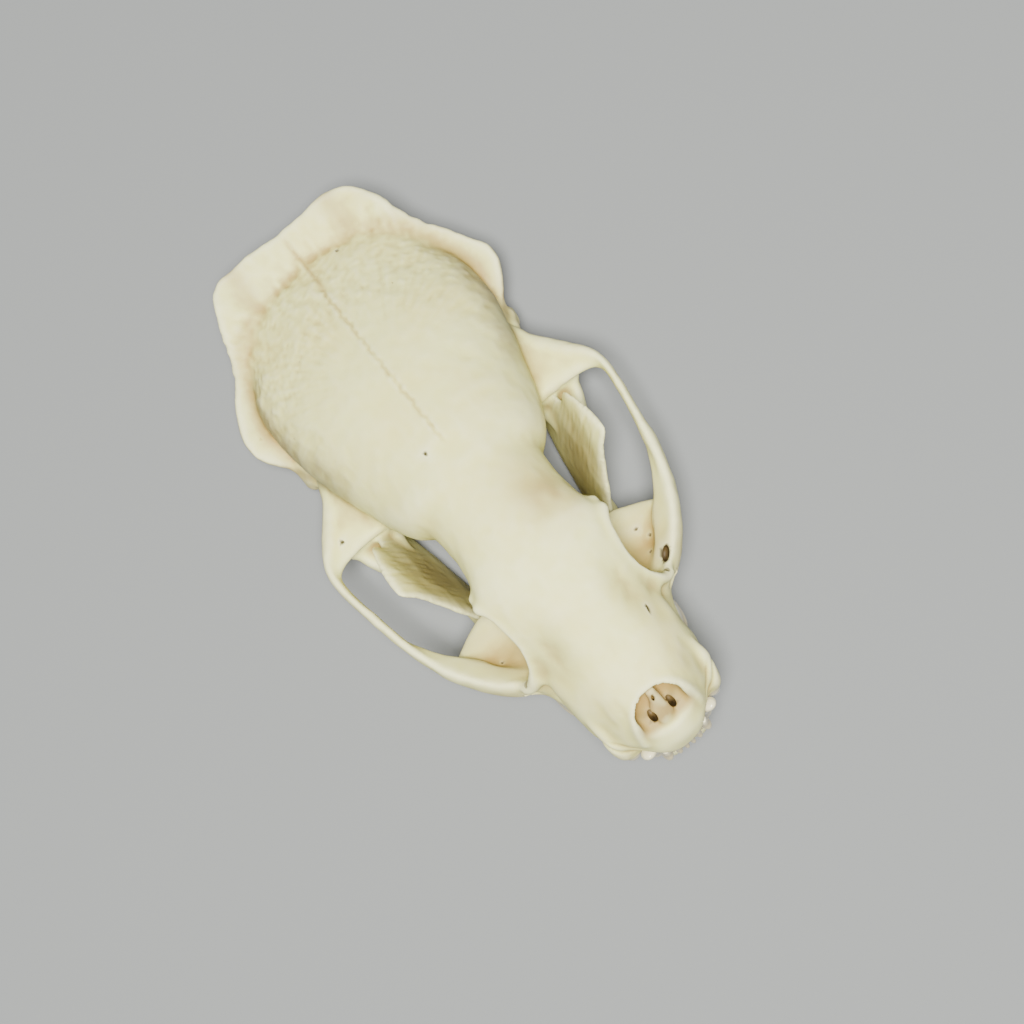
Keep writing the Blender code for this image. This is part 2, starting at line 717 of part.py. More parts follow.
def centre(objects):
    """Slides the whole skull along the floor until its middle is over the origin."""
    spots = [vert.co for obj in objects for vert in obj.data.vertices]
    middle = [(min(co[i] for co in spots) + max(co[i] for co in spots)) / 2 for i in range(2)]
    for co in spots:
        co.x -= middle[0]
        co.y -= middle[1]


def main():
    clear_scene()
    nodes = part_cranium(cranium())
    boolean(nodes["rostrum"], teeth(UPPER_TEETH, UPPER_GUM, -1) + upper_right(), "UNION")
    keep_largest(nodes["rostrum"])
    nodes["mandible_left"] = jaw_half(1)
    nodes["mandible_right"] = jaw_half(-1)
    for name, obj in nodes.items():
        obj.name = name
        to_rest(obj)
        obj.data.materials.clear()
        obj.data.materials.append(material(name, BONE_COLOURS[name], BONE_ROUGHNESS))
    centre(nodes.values())


main()
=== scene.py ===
"""A striped skunk's skull with its lower jaw in place: bleached bone on a pale studio floor.

The bone is modelled in millimetres in the skull's own frame, as the solids are: x towards the skull's left
side, s from the tip of the upper jaw towards the back, and z up from the line of the upper tooth sockets.
to_rest turns each finished piece into metres, tipped onto its rest points with the floor at z = 0.
"""

import math

import bmesh
import bpy
import numpy as np
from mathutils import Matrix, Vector


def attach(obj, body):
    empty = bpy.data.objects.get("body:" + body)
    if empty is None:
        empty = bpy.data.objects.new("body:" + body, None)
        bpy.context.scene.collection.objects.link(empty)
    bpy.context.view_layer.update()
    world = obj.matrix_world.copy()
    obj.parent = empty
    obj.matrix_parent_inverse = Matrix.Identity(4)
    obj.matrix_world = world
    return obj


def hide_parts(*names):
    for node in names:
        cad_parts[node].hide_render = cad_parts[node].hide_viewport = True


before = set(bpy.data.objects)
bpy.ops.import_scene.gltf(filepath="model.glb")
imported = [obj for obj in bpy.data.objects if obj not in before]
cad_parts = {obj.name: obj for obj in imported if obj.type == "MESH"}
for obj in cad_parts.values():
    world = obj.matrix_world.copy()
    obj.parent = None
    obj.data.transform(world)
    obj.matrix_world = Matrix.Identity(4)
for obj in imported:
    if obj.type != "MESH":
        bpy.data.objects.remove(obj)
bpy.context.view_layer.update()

# The skull rests tipped back about this point, which lies on the floor.
TIP_BACK = math.radians(12.0)
FLOOR_S = 24.0
FLOOR_Z = -11.7
MM = 0.001
# The width of the seam between the two halves of the lower jaw.
CHIN_SEAM = 0.3

# How fine the meshes are, how wide the fillets between forms, and about how many triangles a piece keeps.
FUSE_VOXEL = 0.27
FINE_VOXEL = 0.23
TOOTH_VOXEL = 0.13
FILLET = 0.5
JAW_FILLET = 0.35
CRANIUM_FACES = 190000
JAW_FACES = 60000
TOOTH_ROW_FACES = 36000

# The roller on the jaw that turns in the trough under the arch: its middle, radius, half-width and gap.
CONDYLE = (14.2, 45.4, 4.6)
CONDYLE_RADIUS = 1.7
CONDYLE_HALF_WIDTH = 3.2
JOINT_GAP = 0.45

# The photograph's view, in metres: nearly overhead, turned so that the nose points down and to the right.
CAMERA_ELEVATION = math.radians(80.0)
CAMERA_DISTANCE = 0.300
CAMERA_AIM = (0.00087, -0.0047, 0.014)
CAMERA_ROLL = math.radians(39.2)
CAMERA_CLIP = (0.01, 20.0)
FOCAL_PIXELS = 2610.0
PICTURE_PIXELS = 1024.0
SENSOR = 36.0

# Lights in metres and watts: name, place, diameter, power and colour. All look at one point.
LIGHT_AIM = (0, 0, 0.01)
LIGHTS = (
    ("soft_key", (-0.03, -0.12, 0.62), 0.16, 11.6, (0.985, 1.0, 0.965)),
    ("soft_fill", (0.5, -0.25, 0.35), 0.5, 0.1, (0.96, 0.98, 1.0)),
)
WORLD_COLOUR = (0.9, 0.93, 1.0, 1.0)
WORLD_STRENGTH = 0.01
FLOOR_HALF_SIZE = 1.5


def smooth(rows, steps=6):
    """The rows read again at closer steps from a smooth curve through them."""
    rows = np.asarray(rows, float)
    ends = np.vstack([2 * rows[0] - rows[1], rows, 2 * rows[-1] - rows[-2]])
    out = []
    for i in range(len(rows) - 1):
        a, b, c, d = ends[i : i + 4]
        for t in np.arange(steps) / steps:
            bend = (2 * a - 5 * b + 4 * c - d) * t**2 + (3 * b - a - 3 * c + d) * t**3
            out.append(0.5 * (2 * b + (c - a) * t + bend))
    out.append(rows[-1])
    return np.array(out)


def loop(centre, across, up, down=None, round_up=2.0, round_down=2.0, count=56):
    """A rounded loop about a centre; across, up and down are half-axis vectors."""
    centre, across, up = (np.asarray(v, float) for v in (centre, across, up))
    down = -up if down is None else np.asarray(down, float)
    points = []
    for angle in np.arange(count) / count * math.tau:
        c, s = math.cos(angle), math.sin(angle)
        power = 2.0 / (round_up if c >= 0 else round_down)
        side = math.copysign(abs(s) ** power, s)
        points.append(centre + across * side + (up if c >= 0 else down) * abs(c) ** power)
    return points


def as_object(name, mesh):
    data = bpy.data.meshes.new(name)
    mesh.to_mesh(data)
    mesh.free()
    made = bpy.data.objects.new(name, data)
    bpy.context.scene.collection.objects.link(made)
    return made


def body(name, loops):
    """A closed mesh object skinned over a row of loops of equal count."""
    mesh = bmesh.new()
    rings = [[mesh.verts.new(point) for point in ring] for ring in loops]
    for low, high in zip(rings, rings[1:]):
        for i in range(len(low)):
            j = (i + 1) % len(low)
            mesh.faces.new((low[i], low[j], high[j], high[i]))
    for ring in (rings[0], rings[-1]):
        middle = mesh.verts.new(np.mean([vert.co for vert in ring], axis=0))
        for i in range(len(ring)):
            mesh.faces.new((ring[i], ring[(i + 1) % len(ring)], middle))
    bmesh.ops.recalc_face_normals(mesh, faces=mesh.faces)
    return as_object(name, mesh)


def unit(vector):
    return vector / max(np.linalg.norm(vector), 1e-9)


def tube(name, rows, hint=(0, 0, 1), steps=6, count=24):
    """A bar along x, s, z rows, each with a half-width across and a half-height towards the hint."""
    rows = smooth(rows, steps)
    path, across, tall = rows[:, :3], rows[:, 3], rows[:, 4]
    along = np.gradient(path, axis=0)
    loops = []
    for spot, way, wide, high in zip(path, along, across, tall):
        side = unit(np.cross(way, hint))
        up = unit(np.cross(side, way))
        loops.append(loop(spot, side * wide, up * high, count=count))
    return body(name, loops)


def ball(name, centre, radii):
    rows = []
    for turn in np.linspace(-0.98, 0.98, 17) * math.pi / 2:
        spot = np.array(centre) + (0, radii[1] * math.sin(turn), 0)
        shrink = math.cos(turn)
        rows.append(loop(spot, (radii[0] * shrink, 0, 0), (0, 0, radii[2] * shrink), count=28))
    return body(name, rows)


def mirrored(obj):
    """The same form on the skull's other side."""
    mesh = bmesh.new()
    mesh.from_mesh(obj.data)
    bmesh.ops.scale(mesh, vec=(-1, 1, 1), verts=mesh.verts)
    bmesh.ops.reverse_faces(mesh, faces=mesh.faces)
    return as_object(obj.name + "_right", mesh)


def both_sides(forms):
    return forms + [mirrored(form) for form in forms]


def remove(objects):
    for obj in objects:
        bpy.data.objects.remove(obj, do_unlink=True)


def joined(name, objects):
    """All the meshes in one object, still as separate shells."""
    mesh = bmesh.new()
    for obj in objects:
        mesh.from_mesh(obj.data)
    remove(objects)
    return as_object(name, mesh)


def apply_modifiers(obj):
    graph = bpy.context.evaluated_depsgraph_get()
    new = bpy.data.meshes.new_from_object(obj.evaluated_get(graph))
    obj.modifiers.clear()
    obj.data = new


def add_modifier(obj, kind, **settings):
    modifier = obj.modifiers.new(kind.title(), kind)
    for key, value in settings.items():
        setattr(modifier, key, value)
    return modifier


def remesh(obj, voxel, smoothing):
    add_modifier(obj, "REMESH", mode="VOXEL", voxel_size=voxel)
    add_modifier(obj, "SMOOTH", factor=0.5, iterations=smoothing)
    apply_modifiers(obj)


def fuse(name, objects, fillet=FILLET, voxel=FUSE_VOXEL):
    """Overlapping forms grown together as bone, with the hollows where they meet filled a little."""
    bone = joined(name, objects)
    add_modifier(bone, "REMESH", mode="VOXEL", voxel_size=voxel)
    add_modifier(bone, "DISPLACE", strength=fillet, mid_level=0.0)
    add_modifier(bone, "REMESH", mode="VOXEL", voxel_size=voxel)
    add_modifier(bone, "DISPLACE", strength=-fillet, mid_level=0.0)
    apply_modifiers(bone)
    remesh(bone, voxel, 2)
    return bone


def cut(obj, hollows):
    """Takes closed forms out of a bone; the forms are then removed."""
    group = bpy.data.collections.new("hollows")
    for hollow in hollows:
        group.objects.link(hollow)
    modifier = add_modifier(obj, "BOOLEAN", operation="DIFFERENCE", solver="MANIFOLD")
    modifier.operand_type = "COLLECTION"
    modifier.collection = group
    apply_modifiers(obj)
    bpy.data.collections.remove(group)
    remove(hollows)


def points_of(obj):
    flat = np.empty(len(obj.data.vertices) * 3, np.float32)
    obj.data.vertices.foreach_get("co", flat)
    return flat.reshape(-1, 3).astype(float)


def normals_of(obj):
    flat = np.empty(len(obj.data.vertices) * 3, np.float32)
    obj.data.vertex_normals.foreach_get("vector", flat)
    return flat.reshape(-1, 3).astype(float)


def set_points(obj, points):
    obj.data.vertices.foreach_set("co", points.astype(np.float32).ravel())
    obj.data.update()


def keep_largest(obj):
    """Drops every scrap but the largest closed surface."""
    count = len(obj.data.vertices)
    edges = np.empty(len(obj.data.edges) * 2, np.int32)
    obj.data.edges.foreach_get("vertices", edges)
    a, b = edges.reshape(-1, 2).T
    label = np.arange(count)
    while True:
        lowest = label.copy()
        np.minimum.at(lowest, a, label[b])
        np.minimum.at(lowest, b, label[a])
        lowest = lowest[lowest]
        if (lowest == label).all():
            break
        label = lowest
    main = np.bincount(label).argmax()
    mesh = bmesh.new()
    mesh.from_mesh(obj.data)
    mesh.verts.ensure_lookup_table()
    scraps = [mesh.verts[i] for i in np.nonzero(label != main)[0]]
    bmesh.ops.delete(mesh, geom=scraps, context="VERTS")
    mesh.to_mesh(obj.data)
    mesh.free()


def thinned(obj, faces):
    """Fewer, larger triangles over the same form."""
    count = sum(len(face.vertices) - 2 for face in obj.data.polygons)
    add_modifier(obj, "DECIMATE", ratio=min(1.0, faces / count), use_collapse_triangulate=True)
    apply_modifiers(obj)


def near(distance, reach):
    """One at a feature's middle, falling softly to nothing past its reach."""
    return np.exp(-((distance / reach) ** 2))


def ramp(value, low, high):
    """Nothing below low, one above high, soft between."""
    t = np.clip((value - low) / (high - low), 0, 1)
    return t * t * (3 - 2 * t)


def noise(points, size, seed):
    """Smooth random values between -1 and 1 that change over about one size."""
    lattice = np.random.default_rng(seed).uniform(-1, 1, (24, 24, 24))
    spots = points / size
    low = np.floor(spots).astype(int)
    part = spots - low
    part = part * part * (3 - 2 * part)
    total = np.zeros(len(points))
    for corner in np.ndindex(2, 2, 2):
        share = np.prod(np.where(corner, part, 1 - part), axis=1)
        total += share * lattice[tuple(((low + corner) % 24).T)]
    return total


def uneven(points, layers):
    """Layers of noise laid over each other; each has a height, a width and a seed."""
    return sum(height * noise(points, width, seed) for height, width, seed in layers)


def between(value, rise, fall):
    """One between two soft edges; each edge is the pair of values that it runs between."""
    return ramp(value, *rise) * (1 - ramp(value, *fall))


def spot(place, height, middle, reach):
    """A soft bump at a middle point, falling to nothing past its reach along each axis."""
    return height * np.exp(-(((place - middle) / reach) ** 2).sum(1))


def high_spot(place, height, across, along, rise):
    """A soft bump by its middle and reach across and along, which fades in over a rise in z."""
    side, s, z = place.T
    return height * near(side - across[0], across[1]) * near(s - along[0], along[1]) * ramp(z, *rise)


def folded(points):
    """The points with both sides of the skull laid over each other."""
    return np.column_stack([np.abs(points[:, 0]), points[:, 1:]])


def column_at(rows, s, s_column, column):
    """One column of a table, read at any s between its rows."""
    rows = np.array(rows)
    return np.interp(s, rows[:, s_column], rows[:, column])


# The vault: rostrum, forehead and braincase in one row of sections.
# Columns: s, half-width, top z, z of the widest line, bottom z, squareness above and below.
VAULT = (
    (2.2, 1.4, 3.6, 2.6, 1.5, 2.0, 2.0),
    (2.6, 2.6, 5.0, 2.7, 0.7, 2.0, 2.0),
    (3.3, 3.5, 6.6, 3.0, 0.3, 2.0, 2.0),
    (4.6, 4.9, 9.0, 3.6, 0.2, 2.0, 2.1),
    (6.6, 6.5, 11.0, 4.0, 0.3, 2.1, 2.3),
    (9.4, 7.8, 12.4, 4.6, 0.6, 2.2, 2.4),
    (12.8, 8.1, 14.0, 5.6, 1.0, 2.3, 2.2),
    (15.7, 8.0, 15.5, 8.4, 3.0, 2.4, 2.0),
    (18.5, 8.0, 16.9, 12.0, 5.0, 2.5, 1.8),
    (22.0, 8.2, 18.3, 14.0, 6.6, 2.5, 1.7),
    (25.2, 8.7, 19.3, 14.8, 7.2, 2.5, 1.7),
    (28.4, 7.9, 20.0, 14.6, 7.2, 2.3, 1.8),
    (31.4, 7.6, 20.5, 14.2, 6.8, 2.1, 1.9),
    (35.1, 7.75, 20.95, 14.2, 6.0, 2.1, 1.9),
    (36.4, 8.3, 21.1, 14.0, 5.6, 2.1, 1.9),
    (37.4, 9.4, 21.2, 13.7, 5.2, 2.1, 2.0),
    (39.0, 10.5, 21.3, 13.3, 4.8, 2.1, 2.0),
    (42.0, 11.6, 21.5, 12.2, 3.6, 2.0, 2.1),
    (47.0, 13.0, 21.3, 11.2, 2.6, 2.05, 2.1),
    (52.0, 14.3, 20.8, 10.4, 2.0, 2.1, 2.1),
    (57.0, 15.2, 19.8, 9.6, 1.7, 2.1, 1.9),
    (62.0, 15.0, 18.4, 9.6, 1.6, 2.1, 1.8),
    (66.0, 13.6, 17.1, 10.0, 2.0, 2.1, 1.8),
    (69.0, 12.0, 16.0, 11.0, 3.0, 2.0, 1.9),
    (71.2, 10.0, 14.9, 10.8, 4.4, 2.2, 2.0),
    (72.6, 6.8, 13.8, 10.2, 6.0, 2.2, 2.0),
)

# The narrow core under the vault, from the palate to the base of the braincase, in the same columns.
CORE = (
    (7.0, 4.4, 7.0, 4.0, 1.7, 2.2, 2.2),
    (12.0, 5.6, 10.0, 5.0, 1.9, 2.2, 2.2),
    (18.0, 6.0, 13.0, 6.0, 2.0, 2.2, 2.2),
    (24.0, 5.6, 14.0, 7.0, 2.2, 2.2, 2.0),
    (29.0, 5.2, 14.0, 7.6, 3.4, 2.2, 2.0),
    (35.0, 5.6, 13.0, 8.0, 3.6, 2.2, 2.0),
    (41.0, 6.6, 12.0, 7.0, 3.0, 2.2, 2.0),
    (47.0, 7.6, 10.0, 6.0, 2.2, 2.2, 2.0),
)

# Bars of bone on one side: x, s, z, half-width and half-height along each.
ARCH = (
    (6.1, 15.9, 4.4, 0.8, 1.6),
    (7.9, 17.1, 4.6, 0.85, 1.9),
    (10.6, 18.3, 4.9, 0.85, 2.1),
    (13.1, 20.5, 5.3, 0.8, 2.1),
    (15.55, 23.7, 6.1, 0.7, 1.9),
    (17.5, 28.0, 6.9, 0.68, 1.8),
    (18.85, 34.0, 8.1, 0.65, 1.7),
    (19.7, 39.5, 8.9, 0.58, 1.5),
    (19.35, 42.8, 9.0, 0.7, 1.3),
    (17.3, 45.6, 8.7, 0.9, 1.1),
    (15.2, 48.8, 8.2, 1.0, 1.0),
    (13.4, 53.0, 7.6, 1.2, 1.0),
)
CANINE_LOBE_OUTER = (
    (5.75, 6.0, 0.5, 0.95, 1.0),
    (6.4, 6.2, 3.0, 1.0, 1.2),
    (6.8, 7.6, 5.8, 0.9, 1.15),
    (6.85, 9.8, 7.4, 0.8, 1.0),
)
CANINE_LOBE_INNER = (
    (4.75, 6.05, 0.7, 0.8, 1.0),
    (4.8, 6.1, 3.6, 0.85, 1.1),
    (5.05, 7.7, 7.0, 0.75, 0.95),
    (5.1, 10.6, 9.2, 0.6, 0.8),
)
TOOTH_RIM = (
    (5.2, 6.3, 2.2, 1.25, 1.9),
    (6.2, 9.3, 2.2, 1.4, 1.9),
    (6.8, 14.0, 2.2, 1.4, 1.9),
    (8.1, 19.0, 2.0, 1.7, 1.8),
    (9.1, 24.0, 1.9, 2.5, 1.6),
    (8.6, 28.2, 2.1, 1.8, 1.3),
)
# The slope from the arch down to the floor of the eye socket.
SOCKET_WEB = (
    (9.4, 18.6, 4.7, 1.1, 1.2),
    (11.3, 20.3, 4.8, 1.5, 1.3),
    (13.2, 22.8, 5.0, 1.5, 1.3),
    (15.0, 25.3, 5.5, 1.0, 1.1),
    (16.5, 27.6, 6.2, 0.6, 0.9),
    (17.6, 30.2, 7.0, 0.35, 0.7),
)
PTERYGOID = (
    (4.0, 26.5, 3.0, 1.0, 1.6),
    (3.7, 31.0, 3.0, 0.6, 2.6),
    (3.6, 36.0, 2.8, 0.5, 2.6),
    (3.7, 40.5, 2.2, 0.5, 2.2),
    (3.9, 43.6, 0.8, 0.5, 1.0),
)
MASTOID = (
    (12.0, 56.0, 7.0, 2.2, 2.2),
    (14.0, 56.0, 4.6, 1.8, 2.0),
    (14.8, 56.0, 2.4, 1.5, 1.7),
    (14.8, 56.0, 0.8, 0.9, 1.1),
)
PAROCCIPITAL = (
    (9.8, 62.6, 5.0, 2.2, 2.2),
    (10.4, 63.2, 2.4, 1.8, 1.6),
    (10.6, 63.6, 0.8, 1.4, 1.2),
    (10.6, 63.8, -0.2, 0.8, 0.8),
)
EAR_TUBE = (
    (9.0, 52.6, 3.4, 2.2, 2.2),
    (12.0, 51.4, 4.4, 2.0, 2.0),
    (15.0, 50.8, 5.4, 1.9, 1.9),
)
POSTGLENOID = (
    (10.6, 48.2, 5.6, 1.0, 2.6),
    (13.0, 48.4, 5.2, 0.8, 2.6),
    (16.4, 48.2, 5.8, 0.7, 2.2),
)
BROW_CORNER = (
    (6.6, 23.6, 15.6, 1.2, 1.1),
    (8.3, 24.5, 15.9, 0.9, 0.9),
    (9.3, 25.3, 15.9, 0.5, 0.5),
)
ORBIT_RIM = (
    (8.5, 24.2, 16.2, 0.5, 0.5),
    (8.0, 22.4, 15.6, 0.5, 0.55),
    (7.85, 20.6, 14.6, 0.5, 0.6),
    (7.9, 19.0, 13.4, 0.5, 0.6),
    (8.2, 17.9, 11.6, 0.55, 0.7),
    (8.7, 17.2, 9.6, 0.6, 0.8),
    (9.4, 16.9, 7.7, 0.7, 0.9),
    (10.4, 17.4, 6.4, 0.8, 1.0),
)

# The floor of the eye socket between the palate and the arch: s, middle x, middle z, half-sizes.
SOCKET_FLOOR = (
    (15.6, 6.8, 3.4, 1.3, 2.0),
    (18.0, 8.35, 3.4, 2.15, 2.2),
    (20.8, 9.75, 3.0, 3.65, 1.8),
    (23.8, 11.0, 2.8, 4.55, 1.4),
    (26.0, 10.9, 2.6, 4.7, 1.2),
    (28.0, 9.8, 2.3, 2.9, 0.9),
    (29.2, 8.8, 2.0, 1.3, 0.6),
)

# The shelf over the jaw joint: x, front s, back s, z and half-thickness.
SHELF = (
    (9.0, 42.8, 56.0, 7.6, 1.6),
    (12.0, 42.7, 54.0, 7.8, 1.3),
    (15.0, 42.6, 50.9, 8.1, 1.0),
    (17.4, 42.2, 47.5, 8.5, 0.9),
    (19.3, 41.3, 44.6, 8.9, 0.9),
)

# The crest round the back of the head: rim x, s, z, then the root x, s, z inside the braincase.
CREST = (
    (15.0, 53.4, 3.4, 10.0, 55.0, 4.0),
    (15.7, 56.6, 5.2, 9.8, 57.3, 5.0),
    (17.7, 59.2, 7.0, 9.6, 59.0, 5.8),
    (18.6, 62.1, 8.4, 9.4, 60.6, 6.6),
    (16.2, 65.6, 10.8, 8.8, 62.0, 8.4),
    (13.4, 69.5, 13.2, 7.6, 64.0, 10.4),
    (12.0, 73.2, 14.6, 6.0, 65.5, 11.8),
    (9.8, 76.8, 15.4, 4.2, 66.5, 12.2),
    (6.0, 77.45, 15.7, 2.4, 67.0, 12.4),
    (0.0, 77.3, 15.4, 0.0, 67.4, 12.4),
)
# The crest's half-thickness at its root, at its lip and midway, how deep it is dished, and how far its
# rim wanders.
CREST_ROOT = 1.9
CREST_RIM = 0.5
CREST_MIDDLE = (CREST_ROOT + CREST_RIM) / 2.6
CREST_DISH = 1.15
CREST_WAVE = 0.17
CREST_WAVES = ((1.0, 2.3, 11), (0.6, 1.1, 12))
CREST_SWELLS = ((1.0, 2.9, 13),)
LIP_SWELL = 0.35
# Just inside the rim the plate is thinnest: the share of the way in, its dish and its two half-thicknesses.
CREST_INNER = 0.18
CREST_INNER_DISH = 0.15
CREST_INNER_HALF = (0.5, 0.7)
CREST_LIP_ROUND = 0.25

# The thin ridge that carries the middle line out over the crest, in the columns of the bars above.
RIDGE = (
    (0.0, 66.0, 15.95, 0.35, 0.4),
    (0.0, 70.0, 14.95, 0.38, 0.4),
    (0.0, 72.5, 14.2, 0.38, 0.45),
    (0.0, 74.6, 14.0, 0.38, 0.45),
    (0.0, 76.7, 14.7, 0.35, 0.4),
)

# The nose: its opening, rim, partition, one airway and floor, in the same columns.
NOSE_HOLE = (
    (0.0, 0.2, 12.2, 3.2, 2.7),
    (0.0, 5.0, 9.3, 3.15, 2.7),
    (0.0, 6.4, 8.5, 3.0, 2.65),
    (0.0, 7.4, 7.9, 2.5, 2.2),
    (0.0, 8.1, 7.5, 1.5, 1.1),
)
NOSE_RIM = (
    (4.0, 4.1, 4.8, 0.4, 0.45),
    (3.95, 4.5, 6.8, 0.45, 0.5),
    (3.65, 5.2, 8.7, 0.45, 0.5),
    (2.75, 6.35, 10.25, 0.45, 0.5),
    (1.5, 7.1, 10.9, 0.4, 0.45),
    (0.0, 7.3, 11.0, 0.4, 0.45),
)
SEPTUM = (
    (0.15, 7.3, 10.3, 0.5, 0.5),
    (0.1, 6.3, 9.3, 0.65, 0.5),
    (-0.1, 5.6, 8.4, 1.05, 0.5),
    (-0.1, 4.9, 7.3, 1.15, 0.5),
    (0.0, 4.4, 6.4, 0.9, 0.5),
)
AIRWAY = (
    (1.32, 4.9, 8.6, 0.42, 0.7),
    (1.32, 5.8, 6.5, 0.44, 0.75),
    (1.32, 7.2, 4.1, 0.4, 0.7),
)
PREMAXILLA_DOME = ((0.0, 4.4, 3.5), (3.45, 2.3, 3.1))
NOSE_FLOOR = (
    (-3.05, 4.5, 8.9, 1.3, 1.6),
    (-2.6, 4.5, 8.9, 1.9, 2.25),
    (0.0, 4.5, 8.9, 2.1, 2.6),
    (2.6, 4.5, 8.9, 1.9, 2.25),
    (3.05, 4.5, 8.9, 1.3, 1.6),
)
# The canal through the root of each arch, and the slanted window beside the left one.
CHEEK_HOLE = (
    (9.2, 13.8, 3.3, 0.7, 0.9),
    (10.1, 17.0, 3.9, 0.75, 1.0),
    (10.9, 19.4, 4.7, 0.7, 0.9),
    (11.2, 20.4, 5.2, 0.4, 0.5),
)
CHEEK_WINDOW = (
    (11.35, 18.2, 9.6, 0.4, 0.95),
    (11.3, 19.5, 6.4, 0.4, 0.95),
    (11.2, 20.6, 3.2, 0.4, 0.85),
)
WINDOW_SLANT = (0.66, 0.75, 0.0)
# The openings for the spinal cord and for one ear.
BRAIN_HOLE = (
    (0.0, 78.0, 7.6, 3.8, 3.4),
    (0.0, 71.0, 7.8, 3.8, 3.3),
    (0.0, 67.0, 8.4, 3.5, 3.0),
    (0.0, 65.0, 8.6, 2.2, 2.0),
)
EAR_HOLE = (
    (18.0, 50.2, 5.8, 1.2, 1.2),
    (15.0, 50.8, 5.3, 1.2, 1.2),
    (12.0, 51.4, 4.4, 1.1, 1.1),
)

# Rounded lumps on one side: name, middle and half-sizes.
LUMPS = (
    ("brow_bump", (8.75, 26.4, 15.4), (0.5, 0.7, 0.55)),
    ("tear_bump", (10.1, 16.9, 7.3), (0.55, 0.6, 0.6)),
    ("bulla", (8.4, 55.6, 2.6), (4.0, 6.4, 3.4)),
    ("condyle_back", (4.5, 71.3, 6.1), (2.3, 2.3, 2.6)),
)

# One half of the lower jaw: x, s, z, half-width and half-height.
JAW = (
    (1.6, 4.6, -4.0, 1.4, 1.0),
    (1.9, 5.9, -5.3, 1.8, 2.2),
    (2.7, 8.2, -6.5, 2.2, 3.1),
    (4.4, 12.5, -7.1, 2.1, 3.6),
    (6.2, 18.0, -7.3, 2.0, 3.9),
    (7.8, 24.0, -7.4, 1.8, 4.3),
    (9.0, 30.0, -6.6, 1.5, 4.4),
    (10.1, 35.5, -5.7, 1.2, 3.8),
    (11.2, 39.5, -4.6, 1.0, 3.6),
    (12.1, 43.0, -4.2, 0.9, 3.4),
    (12.6, 46.0, -4.6, 1.0, 2.9),
    (12.6, 48.6, -6.0, 1.1, 1.7),
    (12.5, 50.2, -6.4, 0.7, 0.9),
)

# The blade of the jaw inside the arch: z, middle x, front s, back s and half-thickness.
CORONOID = (
    (-8.0, 9.4, 29.6, 38.0, 1.1),
    (-4.0, 10.1, 29.8, 45.0, 1.0),
    (0.0, 11.0, 30.2, 46.4, 0.9),
    (2.5, 11.6, 30.5, 45.6, 0.8),
    (5.0, 12.2, 31.1, 44.2, 0.7),
    (7.0, 12.75, 31.7, 41.9, 0.6),
    (9.0, 13.35, 32.1, 41.8, 0.52),
    (10.6, 13.85, 32.4, 40.6, 0.48),
    (11.7, 14.3, 32.6, 38.2, 0.45),
    (12.4, 14.6, 32.8, 35.8, 0.4),
    (12.8, 14.75, 33.0, 34.4, 0.28),
)
# How far the blade turns outwards towards its back, as a share of its half-length.
BLADE_TURN = 0.12
# The jaw's neck under the roller, the border from it down to the bar, and the web between, as bars.
JAW_NECK = (
    (12.0, 43.4, 0.0, 1.1, 1.8),
    (12.8, 44.6, 2.4, 1.2, 1.5),
    (13.4, 45.2, 4.0, 1.3, 1.3),
)
JAW_BORDER = (
    (16.1, 45.0, 4.2, 0.9, 1.2),
    (15.5, 43.0, 2.7, 0.8, 1.2),
    (14.2, 40.6, 1.0, 0.7, 1.2),
    (12.4, 38.0, -0.8, 0.65, 1.3),
    (10.9, 35.0, -2.8, 0.65, 1.3),
    (9.3, 31.6, -5.0, 0.5, 0.9),
)
# The two halves of the jaw meet in this flat-faced block at the chin.
CHIN = (
    (1.0, 5.2, -4.7, 1.3, 1.2),
    (1.0, 6.8, -6.0, 1.6, 2.3),
    (1.1, 9.2, -7.2, 1.6, 2.8),
    (1.2, 12.0, -8.2, 1.2, 1.9),
)
JAW_WEB = (
    (13.3, 45.6, 2.8, 2.5, 1.5),
    (13.0, 43.4, 2.4, 2.4, 1.7),
    (12.8, 41.0, 0.4, 2.1, 1.3),
    (12.0, 38.0, -2.0, 1.5, 1.0),
)


def section_body(name, table):
    loops = []
    for s, half, top, widest, bottom, round_up, round_down in smooth(table):
        up, down = (0, 0, top - widest), (0, 0, bottom - widest)
        loops.append(loop((0, s, widest), (half, 0, 0), up, down, round_up, round_down))
    return body(name, loops)


def socket_floor():
    loops = []
    for s, x, z, wide, high in smooth(SOCKET_FLOOR):
        loops.append(loop((x, s, z), (wide, 0, 0), (0, 0, high), count=28))
    return body("floor", loops)


def jaw_shelf():
    loops = []
    for x, front, back, z, thick in smooth(SHELF):
        middle, half = (front + back) / 2, (back - front) / 2
        loops.append(loop((x, middle, z), (0, half, 0), (0, 0, thick), round_up=3, round_down=3, count=36))
    return body("shelf", loops)


